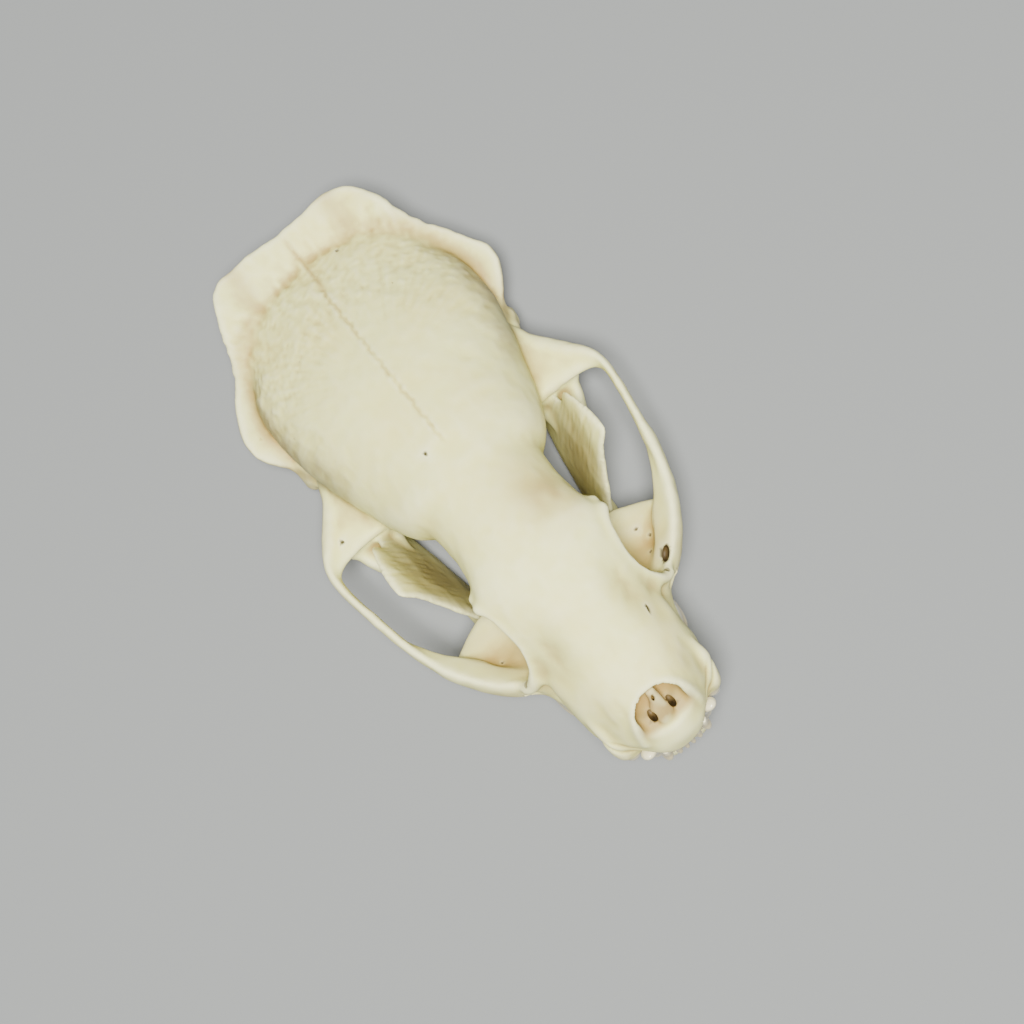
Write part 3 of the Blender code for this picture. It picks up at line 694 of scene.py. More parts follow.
def crest():
    """A thin dished plate from inside the braincase out to a wavy rim, over both sides."""
    left = [list(row) for row in CREST]
    right = [[-row[0], row[1], row[2], -row[3], row[4], row[5]] for row in left[-2::-1]]
    rows = smooth(left + right, 10)
    rims, roots = rows[:, :3], rows[:, 3:]
    along = np.gradient(rims, axis=0)
    flat = rims * (1, 1, 0)
    shifts, swells = uneven(flat, CREST_WAVES), uneven(flat, CREST_SWELLS)
    above, below = CREST_INNER_HALF
    loops = []
    for rim, root, way, shift, swell in zip(rims, roots, along, shifts, swells):
        out = unit(rim - root)
        face = unit(np.cross(out, way))
        face = face if face[2] >= 0 else -face
        rim = rim + out * shift * CREST_WAVE + face * swell * CREST_WAVE
        middle = (rim + root) / 2 - face * CREST_DISH
        inner = rim + (root - rim) * CREST_INNER - face * CREST_INNER_DISH
        base = face * CREST_ROOT
        waist = face * CREST_MIDDLE
        lip = face * CREST_RIM * (1 + LIP_SWELL * swell)
        front = [root + base, middle + waist, inner + face * above, rim + lip]
        back = [rim - lip, inner - face * below, middle - waist, root - base]
        loops.append(front + [rim + out * CREST_LIP_ROUND] + back)
    return body("crest", loops)


def joint_hollow():
    """The trough under the shelf that holds the jaw's joint roller."""
    x, s, z = CONDYLE
    reach = CONDYLE_HALF_WIDTH + 1.2
    size = CONDYLE_RADIUS + JOINT_GAP
    rows = [(x - reach, s, z, size, size), (x, s, z, size, size), (x + reach, s, z, size, size)]
    return tube("joint_hollow", rows, steps=2)


def jaw_blade():
    loops = []
    for z, x, front, back, thick in smooth(CORONOID):
        middle, half = (front + back) / 2, (back - front) / 2
        across = (BLADE_TURN * half, half, 0)
        loops.append(loop((x, middle, z), across, (thick, 0, 0), round_up=2.8, round_down=2.8, count=44))
    return body("blade", loops)


def jaw_roller():
    x, s, z = CONDYLE
    rows = []
    for part in (-1.0, -0.8, 0.0, 0.8, 1.0):
        size = CONDYLE_RADIUS * (0.55 if abs(part) == 1.0 else 1.0)
        rows.append((x + part * CONDYLE_HALF_WIDTH, s, z, size, size))
    return tube("roller", rows, steps=3)


def cranium_forms():
    one_side = [
        tube("arch", ARCH, steps=8),
        socket_floor(),
        tube("socket_web", SOCKET_WEB),
        jaw_shelf(),
        tube("canine_lobe", CANINE_LOBE_OUTER, hint=(0, 1, 0)),
        tube("canine_lobe", CANINE_LOBE_INNER, hint=(0, 1, 0)),
        tube("tooth_rim", TOOTH_RIM),
        tube("pterygoid", PTERYGOID),
        tube("mastoid", MASTOID, hint=(0, 1, 0)),
        tube("paroccipital", PAROCCIPITAL, hint=(0, 1, 0)),
        tube("ear_tube", EAR_TUBE),
        tube("postglenoid", POSTGLENOID),
        tube("brow_corner", BROW_CORNER),
        tube("orbit_rim", ORBIT_RIM),
        tube("nose_rim", NOSE_RIM, hint=(0, -1, 0.6)),
    ]
    forms = both_sides(one_side + [ball(*lump) for lump in LUMPS])
    forms += [section_body("vault", VAULT), section_body("core", CORE), crest(), tube("ridge", RIDGE)]
    forms.append(ball("premaxilla_dome", *PREMAXILLA_DOME))
    return forms


def main_hollows():
    hollows = both_sides([tube("cheek_hole", CHEEK_HOLE), tube("ear_hole", EAR_HOLE), joint_hollow()])
    hollows.append(tube("nose_floor", NOSE_FLOOR))
    return hollows + [tube("nose_hole", NOSE_HOLE), tube("brain_hole", BRAIN_HOLE)]


# The heights between which the sides of the braincase turn into its roof.
ROOF = (9.0, 13.0)

# Layers of unevenness all over the bone: height, width and seed.
CRANIUM_LAYERS = ((0.16, 7.0, 21), (0.08, 3.1, 22), (0.05, 1.3, 26))
JAW_LAYERS = ((0.10, 4.0, 31), (0.04, 1.2, 32))

# Muscle lines fan out backwards from a point on the roof: its s, how close and how long the lines are,
# and where they fade in, along the skull and away from the point.
FAN_S = 50.0
FAN_CLOSENESS = 17.0
FAN_LENGTH = 3.2
FAN_ALONG = (44.0, 62.0)
FAN_AWAY = (5.0, 14.0)
FAN_LAYERS = ((0.09, 0.9, 23), (0.05, 0.45, 24))

# Pits, in a pattern turned and leaned off the skull's axes. They are full on the rear of the roof, where
# the line that they start at bends back towards the middle, and fade on the crest. The shares are their
# least depth, what the rear adds to it, and what the crest takes away.
PIT_TURN = (0.83, 0.55)
PIT_LEAN = 0.4
PIT_LAYERS = ((0.06, 0.62, 25), (0.05, 1.1, 34))
PIT_START = (59.0, 68.0)
PIT_START_BEND = 0.4
PIT_END = (71.5, 74.0)
PIT_SHARES = (0.22, 0.9, 0.7)

# The seam along the middle of the roof: the height, rate and start of its waves, its half-width, where it
# fades in and out, its depth, the height and half-width of its bank, and its beads' height and distance
# from the middle.
SEAM_WAVES = ((0.10, 1.9, 0.0), (0.06, 4.7, 1.0))
SEAM_WIDTH = 0.25
SEAM_ALONG = ((40.0, 42.0), (66.0, 69.0))
SEAM_DEPTH = 0.12
SEAM_BANK = (0.06, 0.9)
SEAM_BEADS = (0.08, 0.3)

# The low ridge from each brow corner back to the middle: s, and distance from the middle; where it fades
# in and out, and its height and half-width.
BROW_LINE = ((24.0, 8.8), (28.0, 7.2), (32.0, 5.6), (38.0, 2.9), (43.0, 0.8))
BROW_LINE_ALONG = ((23.5, 26.0), (40.0, 43.0))
BROW_LINE_SIZE = (0.07, 1.2)

# Soft dips in front of the eyes and beside the crest, as high_spot takes them.
DIPS = (
    (1.15, (6.1, 2.3), (16.4, 3.9), (8.0, 11.0)),
    (0.25, (9.5, 2.6), (63.5, 6.0), ROOF),
)
# The dish in the floor of each eye socket, as spot takes it.
SOCKET_DISH = (1.0, (11.0, 22.6, 3.6), (2.6, 2.8, 2.0))
# The ragged stub under the crest and the edge over the jaw joint: a spot, and its bumps' width and seed.
ROUGH_SPOTS = (
    ((0.45, (15.0, 56.0, 3.0), (2.4, 4.0, 4.5)), 1.5, 27),
    ((0.16, (13.0, 42.0, 8.4), (4.0, 1.0, 1.8)), 0.9, 30),
)
# Streaks over the canine bulges and bumps along the arches: height, width and seed. The squeeze draws the
# streaks out along s and up z.
CANINE_STREAKS = (0.20, 1.1, 35)
CANINE_STREAK_SQUEEZE = (1.0, 0.45, 0.35)
ARCH_BUMPS = (0.08, 2.4, 28)
# Two creases slant up each canine bulge: a point on the outer one, their slant and half-width, and for each
# its depth and how far in it lies.
CREASE_POINT = (6.0, 3.6)
CREASE_SLANT = 0.88
CREASE_WIDTH = 0.3
CREASES = ((0.24, 0.0), (0.14, 1.3))

# Soft spots on the sides of the jaw's blade: strength, then middle and reach along and up.
BLADE_DIP_INSIDE = (0.25, (36.8, 4.2), (3.0, 7.0))
BLADE_DIP_OUTSIDE = (0.35, (37.5, 3.4), (1.0, 4.6))
# Painted shade on the inner face of the blade: in tan, then dark.
BLADE_TAN_SHADE = (0.62, (36.5, 5.5), (1.5, 8.5))
BLADE_SHADE = (0.62, (37.0, 7.0), (0.5, 9.5))
# The grain inside the blade: closeness along, length up, height, and the z where it fades in.
BLADE_GRAIN = (3.2, 4.0, 0.08, (-3.0, 1.0))


def muscle_fan(points):
    """Fine lines that fan out over the rear of the roof, where the jaw muscles held on."""
    x, s, z = points.T
    angle = np.arctan2(x, s - FAN_S)
    radius = np.hypot(x, s - FAN_S)
    fan = np.column_stack([angle * FAN_CLOSENESS, radius / FAN_LENGTH, z / FAN_LENGTH])
    return ramp(s, *FAN_ALONG) * ramp(radius, *FAN_AWAY) * uneven(fan, FAN_LAYERS)


def pitting(points):
    x, s, z = points.T
    cos, sin = PIT_TURN
    skewed = np.column_stack([cos * x + sin * s, cos * s - sin * x, z + PIT_LEAN * x])
    least, more, less = PIT_SHARES
    depth = least + more * ramp(s + PIT_START_BEND * np.abs(x), *PIT_START)
    return uneven(skewed, PIT_LAYERS) * depth * (1 - less * ramp(s, *PIT_END))


def seam_offset(s):
    """How far the seam along the roof wanders off the middle line."""
    return sum(height * np.sin(s * rate + start) for height, rate, start in SEAM_WAVES)


def roof_seam(points):
    """A low beaded bank along the middle of the roof, with a fine groove wandering down it."""
    x, s, _ = points.T
    bead = 0.5 + 0.5 * noise(points, 0.5, 29)
    bank = SEAM_BANK[0] * near(x, SEAM_BANK[1])
    beads = SEAM_BEADS[0] * bead * near(np.abs(x) - SEAM_BEADS[1], SEAM_WIDTH)
    groove = SEAM_DEPTH * near(x - seam_offset(s), SEAM_WIDTH)
    return between(s, *SEAM_ALONG) * (bank + beads - groove)


def brow_line(points):
    side, s, _ = folded(points).T
    height, width = BROW_LINE_SIZE
    return height * near(side - column_at(BROW_LINE, s, 0, 1), width) * between(s, *BROW_LINE_ALONG)


def canine_marks(points):
    """Streaks over each canine bulge, less the creases low on it."""
    side, s, z = folded(points).T
    height, width, seed = CANINE_STREAKS
    front = ramp(side, 4.4, 5.4) * (1 - ramp(s, 8.5, 11.0)) * ramp(z, 0.0, 1.0)
    marks = height * front * noise(points * CANINE_STREAK_SQUEEZE, width, seed)
    bulge = between(z, (2.0, 3.0), (5.6, 6.6)) * (1 - ramp(s, 7.5, 9.0))
    slant = side - CREASE_POINT[0] - CREASE_SLANT * (z - CREASE_POINT[1])
    for depth, shift in CREASES:
        marks -= bulge * depth * near(slant + shift, CREASE_WIDTH)
    return marks


def cranium_relief(points, normals):
    """How far the bone rises, in mm, for the marks that muscles, seams and hollows leave on it."""
    place = folded(points)
    side, s, z = place.T
    roof_marks = muscle_fan(points) + pitting(points) + roof_seam(points) + brow_line(points)
    rise = uneven(points, CRANIUM_LAYERS) + ramp(z, *ROOF) * roof_marks + canine_marks(points)
    for dip in DIPS:
        rise -= high_spot(place, *dip)
    rise -= spot(place, *SOCKET_DISH) * ramp(normals[:, 2], 0.0, 0.6)
    for rough, width, seed in ROUGH_SPOTS:
        rise += spot(place, *rough) * noise(points, width, seed)
    arch = ramp(side, 16.4, 17.2) * (1 - ramp(s, 40.0, 43.0))
    height, width, seed = ARCH_BUMPS
    rise += height * arch * noise(points, width, seed)
    return rise


def on_blade(points, strength, along, up):
    return strength * near(points[:, 1] - along[0], along[1]) * near(points[:, 2] - up[0], up[1])


def jaw_faces(points, normals):
    """How far each point of the jaw faces in to the tongue, and how far out to the cheek."""
    outward = normals[:, 0] * np.sign(points[:, 0])
    return np.clip(-outward, 0, 1), np.clip(outward, 0, 1)


def jaw_relief(points, normals):
    """How far the jaw's bone rises, in mm: its blade is dished on both faces and grained inside."""
    side, s, z = folded(points).T
    inside, outside = jaw_faces(points, normals)
    close, length, height, rise_in = BLADE_GRAIN
    grain = np.column_stack([s * close, (z + side) / length, side])
    rise = uneven(points, JAW_LAYERS)
    rise -= inside * ramp(z, -7.0, 1.0) * on_blade(points, *BLADE_DIP_INSIDE)
    rise -= outside * on_blade(points, *BLADE_DIP_OUTSIDE)
    rise += height * inside * ramp(z, *rise_in) * noise(grain, 1.0, 33)
    return rise


def sculpt(obj, relief):
    points, normals = points_of(obj), normals_of(obj)
    points += normals * relief(points, normals)[:, None]
    set_points(obj, points)


# Small holes for vessels: x, s, z of the mouth, the way in, and the half-sizes across and along.
PORES = (
    ((-0.05, 6.35, 9.85), (0.0, 0.35, -0.9), 0.17, 0.36),
    ((5.76, 13.9, 11.9), (-0.3, 0.45, -0.9), 0.12, 0.55),
    ((-2.5, 41.0, 21.3), (0.1, 0.1, -1.0), 0.15, 0.15),
    ((-9.7, 17.7, 6.9), (0.4, 0.3, -1.0), 0.24, 0.3),
    ((10.0, 17.7, 6.9), (-0.4, 0.3, -1.0), 0.22, 0.3),
    ((10.6, 25.0, 3.8), (0.0, 0.0, -1.0), 0.13, 0.13),
    ((11.4, 23.4, 4.0), (0.0, 0.0, -1.0), 0.13, 0.15),
    ((10.2, 21.6, 4.6), (0.0, 0.0, -1.0), 0.13, 0.13),
    ((-10.8, 22.6, 4.2), (0.0, 0.0, -1.0), 0.12, 0.13),
    ((4.3, 71.3, 14.9), (0.0, 0.0, -1.0), 0.16, 0.16),
    ((-16.4, 44.4, 9.2), (0.0, 0.0, -1.0), 0.2, 0.16),
)
# Each hole's depths and its size at them, the width of the painted shade round its mouth, and how dark that
# painted shade is.
PORE_STEPS = ((-1.5, 1.0), (0.4, 1.0), (1.2, 0.7))
PORE_RIM = 0.06
PORE_SHADE = 0.9

# Painted shade on the bone: in these spots, and on the walls of the braincase as much as FLANK_SHADE says.
# Places that the photograph shows shaded, as strengths on the right and the left, then as high_spot.
SHADED_SPOTS = (
    (0.14, 0.28, (5.1, 1.2), (7.0, 2.4), (3.0, 5.0)),
    (0.07, 0.07, (6.3, 1.8), (16.2, 3.2), (9.0, 11.0)),
)
FLANK_SHADE = (0.30, 0.20)
# The window's lean against z, and how far the painted shade round it reaches past it along and across.
WINDOW_LEAN = 0.36
WINDOW_RIM = (0.17, 0.16)

# Creases that are smoothed: the edge of the nose's floor as a spot, and the slope beside each arch as its
# strength, how far out of the web's middle it lies, its reach, and its spans along s and up z.
NOSE_SOFTENING = (1.6, (0.0, 4.0, 6.9), (3.2, 2.1, 1.7))
SLOPE_SOFTENING = 1.3
SLOPE_SHIFT = 0.2
SLOPE_REACH = 1.7
SLOPE_ALONG = ((18.3, 20.0), (26.0, 28.5))
SLOPE_UP = (3.3, 4.2)
SOFTEN_ROUNDS = 40


def pore_axes(way):
    way = unit(np.array(way))
    side = unit(np.cross(way, (0.25, 1, 0)))
    return way, side, unit(np.cross(side, way))


def pores():
    made = []
    for mouth, way, across, along in PORES:
        mouth = np.array(mouth)
        way, side, length = pore_axes(way)
        loops = []
        for depth, size in PORE_STEPS:
            loops.append(loop(mouth + way * depth, side * across * size, length * along * size, count=12))
        made.append(body("pore", loops))
    return made


def in_airway(points):
    """How far each point lies inside one of the nose's two airways."""
    side, s, z = folded(points).T
    inside = near(side - AIRWAY[0][0], 0.8) * (1 - ramp(z + 0.6 * s, 9.4, 10.4))
    return inside * (s > 5.0) * (s < 8.2) * (z > 3.2)


def in_window(points):
    """How far each point lies inside the slanted window beside the left arch."""
    x, s, z = points.T
    middle_x, middle_s, middle_z, wide, long = CHEEK_WINDOW[1]
    away_x = x - middle_x
    away_s = s - middle_s + WINDOW_LEAN * (z - middle_z)
    along = WINDOW_SLANT[0] * away_x + WINDOW_SLANT[1] * away_s
    across = WINDOW_SLANT[1] * away_x - WINDOW_SLANT[0] * away_s
    inside = np.hypot(along / (long + WINDOW_RIM[0]), across / (wide + WINDOW_RIM[1])) < 1.0
    return inside * (1 - ramp(z, 6.6, 7.4)) * (z > -1.0)


def mark_painted_shade(obj):
    """Stores the painted shade at each point: dark inside the holes, airways and window, and a little on
    bone in shade.
    """
    points, normals = points_of(obj), normals_of(obj)
    place = folded(points)
    side, s, z = place.T
    right = points[:, 0] < 0
    flank = ramp(side, 9.0, 12.0) * between(s, (44.0, 48.0), (64.0, 69.0)) * ramp(z, 3.0, 6.0)
    flank *= 1 - ramp(normals[:, 2], 0.4, 0.85)
    painted_shade = flank * np.where(right, *FLANK_SHADE)
    for mouth, way, across, along in PORES:
        away = points - mouth
        way, aside, length = pore_axes(way)
        off = np.hypot(away @ aside / (across + PORE_RIM), away @ length / (along + PORE_RIM))
        painted_shade = np.maximum(painted_shade, PORE_SHADE * (1 - ramp(off, 0.7, 1.1)) * (np.abs(away @ way) < 1.6))
    for on_right, on_left, across, along, rise in SHADED_SPOTS:
        painted_shade += high_spot(place, np.where(right, on_right, on_left), across, along, rise)
    painted_shade = np.maximum(painted_shade, np.maximum(in_airway(points), in_window(points)))
    add_attribute(obj, "painted_shade", np.clip(painted_shade, 0, 1))


def soften_creases(obj):
    """Smooths the edge of the nose's floor, and the slope from each arch down to its eye socket."""
    points = points_of(obj)
    smoother = spread(points, *neighbours(obj), SOFTEN_ROUNDS)
    side, s, z = folded(points).T
    middle = column_at(SOCKET_WEB, s, 1, 0) + SLOPE_SHIFT
    slope = near(side - middle, SLOPE_REACH) * between(s, *SLOPE_ALONG) * ramp(z, *SLOPE_UP)
    share = np.clip(spot(points, *NOSE_SOFTENING) + SLOPE_SOFTENING * slope, 0, 1)[:, None]
    set_points(obj, points * (1 - share) + smoother * share)


def make_cranium():
    bone = fuse("cranium", cranium_forms())
    cut(bone, main_hollows())
    soften_creases(bone)
    bone = joined("cranium", [bone, tube("septum", SEPTUM)])
    remesh(bone, FINE_VOXEL, smoothing=1)
    sculpt(bone, cranium_relief)
    small_holes = both_sides([tube("airway", AIRWAY)]) + pores()
    small_holes.append(tube("cheek_window", CHEEK_WINDOW, hint=WINDOW_SLANT))
    cut(bone, small_holes)
    keep_largest(bone)
    thinned(bone, CRANIUM_FACES)
    return bone


def make_jaw(side):
    name = "jaw_left" if side > 0 else "jaw_right"
    forms = [tube("bar", JAW), jaw_blade(), tube("neck", JAW_NECK), jaw_roller()]
    forms += [tube("border", JAW_BORDER), tube("web", JAW_WEB), tube("chin", CHIN)]
    bone = fuse(name, forms, JAW_FILLET)
    points = points_of(bone)
    points[:, 0] = np.maximum(points[:, 0], CHIN_SEAM / 2)
    set_points(bone, points)
    sculpt(bone, jaw_relief)
    keep_largest(bone)
    thinned(bone, JAW_FACES)
    if side > 0:
        return bone
    other = mirrored(bone)
    remove([bone])
    other.name = name
    return other


# Teeth of one side: x, s, half-width across, half-length along the row, crown height and the tip's lean.
UPPER_TEETH = (
    ("incisor", 0.44, 2.72, 0.31, 0.52, 1.15, 0.0),
    ("incisor", 1.42, 2.85, 0.36, 0.58, 1.25, 0.0),
    ("incisor", 2.68, 3.3, 0.56, 0.82, 1.5, 0.1),
    ("canine", 5.65, 6.6, 1.2, 1.5, 7.4, 0.5),
    ("premolar", 6.1, 8.7, 0.7, 0.9, 1.7, 0.0),
    ("premolar", 6.7, 11.4, 0.9, 1.5, 2.6, 0.0),
    ("carnassial", 7.5, 16.3, 1.3, 3.3, 3.2, 0.0),
    ("molar", 8.8, 22.8, 3.0, 2.9, 1.7, 0.0),
)
LOWER_TEETH = (
    ("incisor", 0.55, 4.3, 0.32, 0.45, 1.1, 0.0),
    ("incisor", 1.25, 4.3, 0.34, 0.5, 1.2, 0.0),
    ("incisor", 2.0, 4.5, 0.4, 0.5, 1.3, 0.0),
    ("lower_canine", 3.45, 5.7, 1.12, 0.95, 5.2, 1.0),
    ("premolar", 3.6, 6.9, 0.6, 0.9, 1.1, 0.0),
    ("premolar", 4.3, 9.5, 0.8, 1.3, 1.7, 0.0),
    ("premolar", 5.0, 12.3, 0.9, 1.6, 1.9, 0.0),
    ("carnassial", 5.75, 17.2, 1.0, 3.2, 2.1, 0.0),
    ("molar", 7.6, 22.4, 1.2, 1.4, 0.8, 0.0),
)
UPPER_GUM = 0.6
LOWER_GUM = -3.7
ROOT_DEPTH = 1.6
CANINE_CURVES = {"canine": 0.14, "lower_canine": -0.335}

# How each crown tapers: shares of its height, each with the share of its width there.
CROWNS = {
    "incisor": ((0.0, 0.9), (0.3, 1.08), (0.6, 1.1), (0.85, 1.0), (1.0, 0.7)),
    "canine": (
        (0.0, 0.92), (0.12, 1.0), (0.3, 0.88), (0.5, 0.7),
        (0.7, 0.5), (0.85, 0.32), (0.95, 0.18), (1.0, 0.06),
    ),
    "lower_canine": (
        (0.0, 0.9), (0.2, 1.0), (0.45, 0.96), (0.7, 0.92), (0.86, 0.86), (0.95, 0.6), (1.0, 0.2),
    ),
    "premolar": ((0.0, 0.9), (0.15, 1.06), (0.4, 0.95), (0.7, 0.55), (0.9, 0.25), (1.0, 0.1)),
    "carnassial": ((0.0, 0.92), (0.15, 1.05), (0.35, 1.0), (0.5, 0.8)),
    "molar": ((0.0, 0.92), (0.2, 1.04), (0.5, 1.0), (0.7, 0.82)),
}
ROOT_SIZE = 0.8

# Extra points on the broad teeth: shares of half-width and half-length, then height and size shares.
CUSPS = {
    "carnassial": (
        (0.1, -0.55, 0.75, 0.5),
        (0.1, 0.02, 1.0, 0.6),
        (0.05, 0.6, 0.78, 0.5),
        (-0.55, -0.35, 0.6, 0.45),
    ),
    "molar": (
        (0.55, -0.45, 1.0, 0.4),
        (0.55, 0.4, 0.95, 0.4),
        (-0.35, -0.3, 0.85, 0.38),
        (-0.55, 0.35, 0.8, 0.36),
    ),
}
CUSP_TAPER = ((0.1, 1.0), (0.55, 0.8), (0.85, 0.45), (1.0, 0.12))
CUSP_LENGTH = 0.8


def tooth(kind, x, s, wide, long, tall, lean, gum, way):
    """One crown with its root, growing from the gum line towards way, which is -1 down or 1 up."""
    base = (x, s, gum - way * ROOT_DEPTH)
    loops = [loop(base, (wide * ROOT_SIZE, 0, 0), (0, long * ROOT_SIZE, 0), count=24)]
    for rise, size in CROWNS[kind]:
        curve = CANINE_CURVES.get(kind, 0.0) * tall * rise**2
        middle = (x + lean * rise, s + curve, gum + way * tall * rise)
        loops.append(loop(middle, (wide * size, 0, 0), (0, long * size, 0), count=24))
    forms = [body(kind, loops)]
    for across, along, height, size in CUSPS.get(kind, ()):
        loops = []
        for rise, share in CUSP_TAPER:
            middle = (x + across * wide, s + along * long, gum + way * tall * height * rise)
            half_wide, half_long = wide * size * share, long * size * share * CUSP_LENGTH
            loops.append(loop(middle, (half_wide, 0, 0), (0, half_long, 0), count=16))
        forms.append(body("cusp", loops))
    return forms


def make_teeth(name, table, gum, way, sides):
    forms = []
    for row in table:
        forms += tooth(*row, gum, way)
    if sides == "both":
        forms = both_sides(forms)
    if sides == "right":
        other = [mirrored(form) for form in forms]
        remove(forms)
        forms = other
    row = joined(name, forms)
    remesh(row, TOOTH_VOXEL, smoothing=3)
    thinned(row, TOOTH_ROW_FACES)
    return row


def to_rest(obj):
    """Turns skull millimetres into metres on the floor, nose towards -Y; nothing goes below the floor."""
    cos, sin = math.cos(TIP_BACK), math.sin(TIP_BACK)
    points = points_of(obj)
    x, y, z = points[:, 0], points[:, 1] - FLOOR_S, points[:, 2] - FLOOR_Z
    turned = np.column_stack([x, y * cos + z * sin, np.maximum(z * cos - y * sin, 0.0)])
    set_points(obj, turned * MM)


def centre(objects):
    """Slides the whole skull along the floor until its middle is over the origin."""
    everything = np.vstack([points_of(obj) for obj in objects])
    middle = (everything.min(0) + everything.max(0)) / 2
    for obj in objects:
        set_points(obj, points_of(obj) - (middle[0], middle[1], 0))


def neighbours(obj):
    """The two ends of each edge, and how many edges meet at each point."""
    edges = np.empty(len(obj.data.edges) * 2, np.int32)
    obj.data.edges.foreach_get("vertices", edges)
    a, b = edges.reshape(-1, 2).T
    degree = np.maximum(np.bincount(edges, minlength=len(obj.data.vertices)), 1).astype(float)
    return a, b, degree


def spread(values, a, b, degree, rounds):
    """Values averaged again and again with those of the neighbouring points."""
    count = len(degree)
    for _ in range(rounds):
        total = np.empty_like(values)
        for axis in range(values.shape[1]):
            column = values[:, axis]
            total[:, axis] = np.bincount(a, column[b], count) + np.bincount(b, column[a], count)
        values = 0.5 * values + 0.5 * total / degree[:, None]
    return values


def add_attribute(obj, name, values):
    layer = obj.data.attributes.new(name, "FLOAT", "POINT")
    layer.data.foreach_set("value", values.astype(np.float32))


# A point's near and far averages: rounds of averaging, the depth that counts as full, and the share of each
# in the painted shade for hollows and in the painted highlight for sharp edges.
HOLLOW_ROUNDS = (14, 70)
HOLLOW_REACH = (0.10, 0.55)
HOLLOW_SHADE_SHARES = (0.5, 0.7)
EDGE_HIGHLIGHT_SHARES = (0.7, 0.35)


def mark_hollow_shade_and_edge_highlight(obj):
    """Stores painted shade in the hollows and a painted highlight on sharp edges, from how far each point
    lies off its own average.
    """
    points, normals = points_of(obj), normals_of(obj)
    links = neighbours(obj)
    near_average = spread(points, *links, HOLLOW_ROUNDS[0])
    far_average = spread(near_average, *links, HOLLOW_ROUNDS[1])
    fine = ((near_average - points) * normals).sum(1) / HOLLOW_REACH[0]
    broad = ((far_average - points) * normals).sum(1) / HOLLOW_REACH[1]
    add_attribute(obj, "hollow", np.clip(HOLLOW_SHADE_SHARES[0] * fine + HOLLOW_SHADE_SHARES[1] * broad, 0, 1))
    add_attribute(obj, "edge", np.clip(-EDGE_HIGHLIGHT_SHARES[0] * fine - EDGE_HIGHLIGHT_SHARES[1] * broad, 0, 1))


# Tan spots: in each eye socket one stains its floor and one is painted shade along its inner wall, and one
# stains along the edge over the jaw joint.
SOCKET_STAIN_AND_SHADE = (
    (0.72, (11.2, 22.2, 4.0), (4.2, 4.6, 2.6)),
    (0.40, (8.4, 21.5, 5.0), (1.6, 4.6, 3.6)),
)
SHELF_STAIN = (0.50, (12.4, 42.5, 8.6), (2.4, 0.5, 1.6))
# Painted shade in tan as high spots, in front of the eyes and between the canine swellings; and tan staining
# at the foot of each bulge.
HIGH_SHADES = (
    (0.20, (6.3, 1.9), (16.0, 3.6), (8.0, 11.0)),
    (0.26, (5.4, 1.5), (8.0, 3.2), (3.0, 6.0)),
)
BULGE_STAIN = (0.30, (6.0, 2.2), (5.6, 1.6), (0.0, 1.0))
# The blotched tan patch on the left of the brow, and the fainter tint behind it.
BROW_PATCH = (0.85, (5.0, 2.5), (28.8, 3.0), (15.0, 18.0))
BROW_TINT = (0.30, (4.0, 4.2), (31.5, 5.0), (15.0, 18.0))
# How strong the other stains, and the painted shades on walls and undersides, are.
NOSE_STAIN = 0.95
PARTITION_STAIN = 0.60
WALL_SHADE = 0.42
FOOT_SHADE = 0.50
SEAM_STAIN = 0.55
RIDGE_STAIN = 0.80
# Painted shade in tan on the undersides of the skull and of the jaw.
UNDERSIDE_SHADE = 0.25
JAW_UNDERSIDE_SHADE = 0.3
GUM_STAIN = 0.9


def nose_stain(points):
    """Tan inside the nose opening and on its partition, below the line of the nose's roof."""
    x, s, z = points.T
    under = column_at(VAULT[1:6], s, 0, 2) - z
    inside = ramp(under, 0.3, 1.5) * (1 - ramp(np.abs(x), 3.2, 3.9)) * between(s, (3.1, 4.6), (11.0, 13.0))
    partition = near(x + 0.05, 0.8) * between(s, (4.2, 4.8), (7.1, 7.7)) * ramp(z, 5.5, 6.5)
    stain_and_shade = NOSE_STAIN * inside + PARTITION_STAIN * partition * ramp(under, -0.2, 0.4)
    return stain_and_shade * ramp(z, 1.5, 3.0)


def flank_shade(points, up):
    """Painted shade in mottled tan down the walls of the braincase, and in a line along their foot under the
    crest.
    """
    side, s, z = folded(points).T
    wall = ramp(side, 9.0, 11.5) * between(s, (44.0, 48.0), (64.0, 68.0)) * (1 - ramp(up, 0.35, 0.8))
    mottle = 0.7 + 0.6 * noise(points * (1, 3, 1), 1.6, 42)
    foot = near(side - column_at(VAULT, s, 0, 1) - 0.3, 1.3) * ramp(s, 53.0, 57.0) * ramp(z, 4.0, 6.0)
    return WALL_SHADE * wall * mottle + FOOT_SHADE * foot


def seam_stain(points):
    """The beaded tan line along the roof's seam, and the ridge that carries it out over the crest."""
    x, s, z = points.T
    bead = 0.5 + 0.5 * noise(points, 0.6, 29)
    line = bead * near(x - seam_offset(s), 0.3) * between(s, (40.0, 42.0), (66.0, 68.0)) * ramp(z, *ROOF)
    ridge = near(x - 0.3, 0.28) * between(s, (66.5, 68.5), (75.0, 77.0)) * ramp(z, 11.0, 13.0)
    return SEAM_STAIN * line + RIDGE_STAIN * ridge


